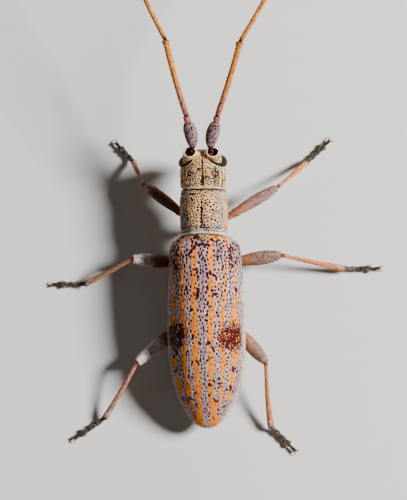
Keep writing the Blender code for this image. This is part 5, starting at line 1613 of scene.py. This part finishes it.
feelerLook = {
    "scapePits": (0.078, 0.025, 0.01), "feelerPits": (0.085, 0.013, 0.006),     # spacing, radius, depth
    "seat": 0.05,           # how deep each joint sits in the one before
    "bow": 0.012, "knobReach": 0.16,
    "lengths": (1.24, 0.25, 3.1, 2.45, 2.05, 1.85, 1.75, 1.65, 1.5, 1.4, 1.49),
    # degrees outward from straight ahead, and degrees upward
    "headings": {"left": (3.0, 9.0, 14.6, 25.2, 33.5, 41.5, 48.5, 54.5, 60.5, 65.5, 69.5),
                 "right": (10.0, 12.0, 19.0, 31.0, 39.0, 46.5, 53.5, 59.5, 65.5, 70.5, 74.5)},
    "rises": {"left": (22.0, 16.0, 11.0, 6.0, 2.0, -2.0, -5.0, -8.0, -10.0, -12.0, -14.0),
              "right": (23.0, 18.0, 15.0, 7.0, 2.0, -2.0, -5.0, -8.0, -11.0, -14.0, -16.0)},
    "scape": ((0.0, 0.07), (0.04, 0.09), (0.08, 0.07), (0.13, 0.075), (0.2, 0.135), (0.35, 0.21),
              (0.55, 0.25), (0.75, 0.248), (0.9, 0.205), (1.0, 0.14)),
    "scapeDip": 0.1,       # how deep its foot sits in the socket
    "scapeBow": ((0.0, 0.0), (0.13, 0.09), (0.5, 0.1), (1.0, 0.0)),     # towards the midline
    "radii": (0.0, 0.128, 0.11, 0.086, 0.08, 0.076, 0.072, 0.068, 0.064, 0.06, 0.052),
    "knobs": (0.0, 0.14, 0.15, 0.122, 0.1, 0.094, 0.088, 0.082, 0.076, 0.07, 0.018),
}


def feelerJoints(look, side):
    sign = leftAndRight[side]
    joints = [raised(mirrored(headLook["socket"], sign) + (sign * -0.02, 0.01, 0))]
    for length, heading, rise in zip(look["lengths"], look["headings"][side], look["rises"][side]):
        turn, lift = math.radians(heading), math.radians(rise)
        step = np.array((sign * math.sin(turn) * math.cos(lift), -math.cos(turn) * math.cos(lift),
                         math.sin(lift)))
        joints.append(joints[-1] + step * length)
    return joints


def makeFeeler(side, look, seed):
    joints = feelerJoints(look, side)
    share = np.linspace(0, 1, 120)
    foot = joints[0] - (0, 0, look["scapeDip"])
    path = foot + (joints[1] - foot) * share[:, None]
    path[:, 0] -= leftAndRight[side] * line(look["scapeBow"], share)
    size = line(look["scape"], share)
    size = size * rounded(share, 0.96, 0.0405)
    scape = makeMesh("scape", loft(tubeRings(path, size, size * 0.96, 64)))
    points, share = limbPaint(scape, path, 0.02)[:2]
    club = ease(share, 0.2, 0.3)
    hollows, pits = punch(scape, *look["scapePits"], seed)[:2]
    flecks = spots(points, 0.03, seed + 1, 0.05, 0.45) * club
    paint(scape, ochre=0.1 + 0.25 * ease(share, 0.9, 1.0),
          bare=np.maximum(hollows * club, flecks * 0.8), pale=0.12 * club,
          tone=(1 - club) + 0.25 * ease(share, 0.93, 1.0),
          thick=club * (1 - 0.6 * flecks) * clearOf(points, joints[1] - foot, 0.07, pits))
    finishLimb("scape", side, scape, scapeFinish, ("antenna_%s_scape" % side,), seed + 2,
               perMm2=900.0, length=0.07, lift=0.2)

    shapes, spine = [], []
    for k in range(1, len(look["lengths"])):
        start, end = joints[k], joints[k + 1]
        direction = unit(end - start)
        radius, knob = look["radii"][k], look["knobs"][k]
        t = np.linspace(0, 1, 16 if k == 1 else 60)
        length = np.linalg.norm(end - start)
        reach = look["seat"] / length
        share = -reach + (1 + reach) * t
        swell = min(0.5, 0.22 / length)
        size = radius * (0.9 + 0.1 * ease(share, 0.0, swell))
        size = size + (knob - radius) * ease(share, 1 - swell * 1.3, 1 - swell * 0.25)
        size = size * (0.76 + 0.24 * ease(share, -reach, 0.35 * swell))
        size = size * rounded(share, 1 - 0.05 / length, 0.0505 / length, 0.02)
        bow = sideways(direction) * leftAndRight[side] * look["bow"] * length
        lengthwise = start + (end - start) * share[:, None] - bow * (4 * share * (1 - share))[:, None]
        shapes.append(loft(tubeRings(lengthwise, size, size, 26)))
        spine.append(lengthwise)
    flagellum = makeMesh("flagellum", merge(shapes))
    spine = np.concatenate(spine)
    points, share = limbPaint(flagellum, spine, 0.27)[:2]
    *knobs, pedicel = (bell(np.linalg.norm(points - spot, axis=1), 0.0, look["knobReach"])
                       for spot in (*joints[2:], (joints[1] + joints[2]) / 2))
    knob = np.max(knobs, axis=0)
    hollows = punch(flagellum, *look["feelerPits"], seed + 4)[0]
    outer = ease(share, 0.02, 0.12)
    paint(flagellum, ochre=0.06 + 0.86 * outer, bare=np.maximum(hollows * 0.5, knob * 0.7),
          pale=0.03 + 0.45 * pedicel, tone=clamp(knob * outer + pedicel * 0.15 + 0.12 * (1 - outer)),
          thick=clamp(1 - knob * 0.6))
    nodes = ["antenna_%s_%s" % (side, part) for part in ("third", "middle", "outer", "tip")]
    finishLimb("feeler", side, flagellum, feelerFinish, nodes, seed + 5,
               perMm2=620.0, length=0.075, lift=0.25, thickness=0.004)


for side, feelerSeed in (("left", 301), ("right", 321)):
    makeFeeler(side, feelerLook, feelerSeed)
print("feelers")
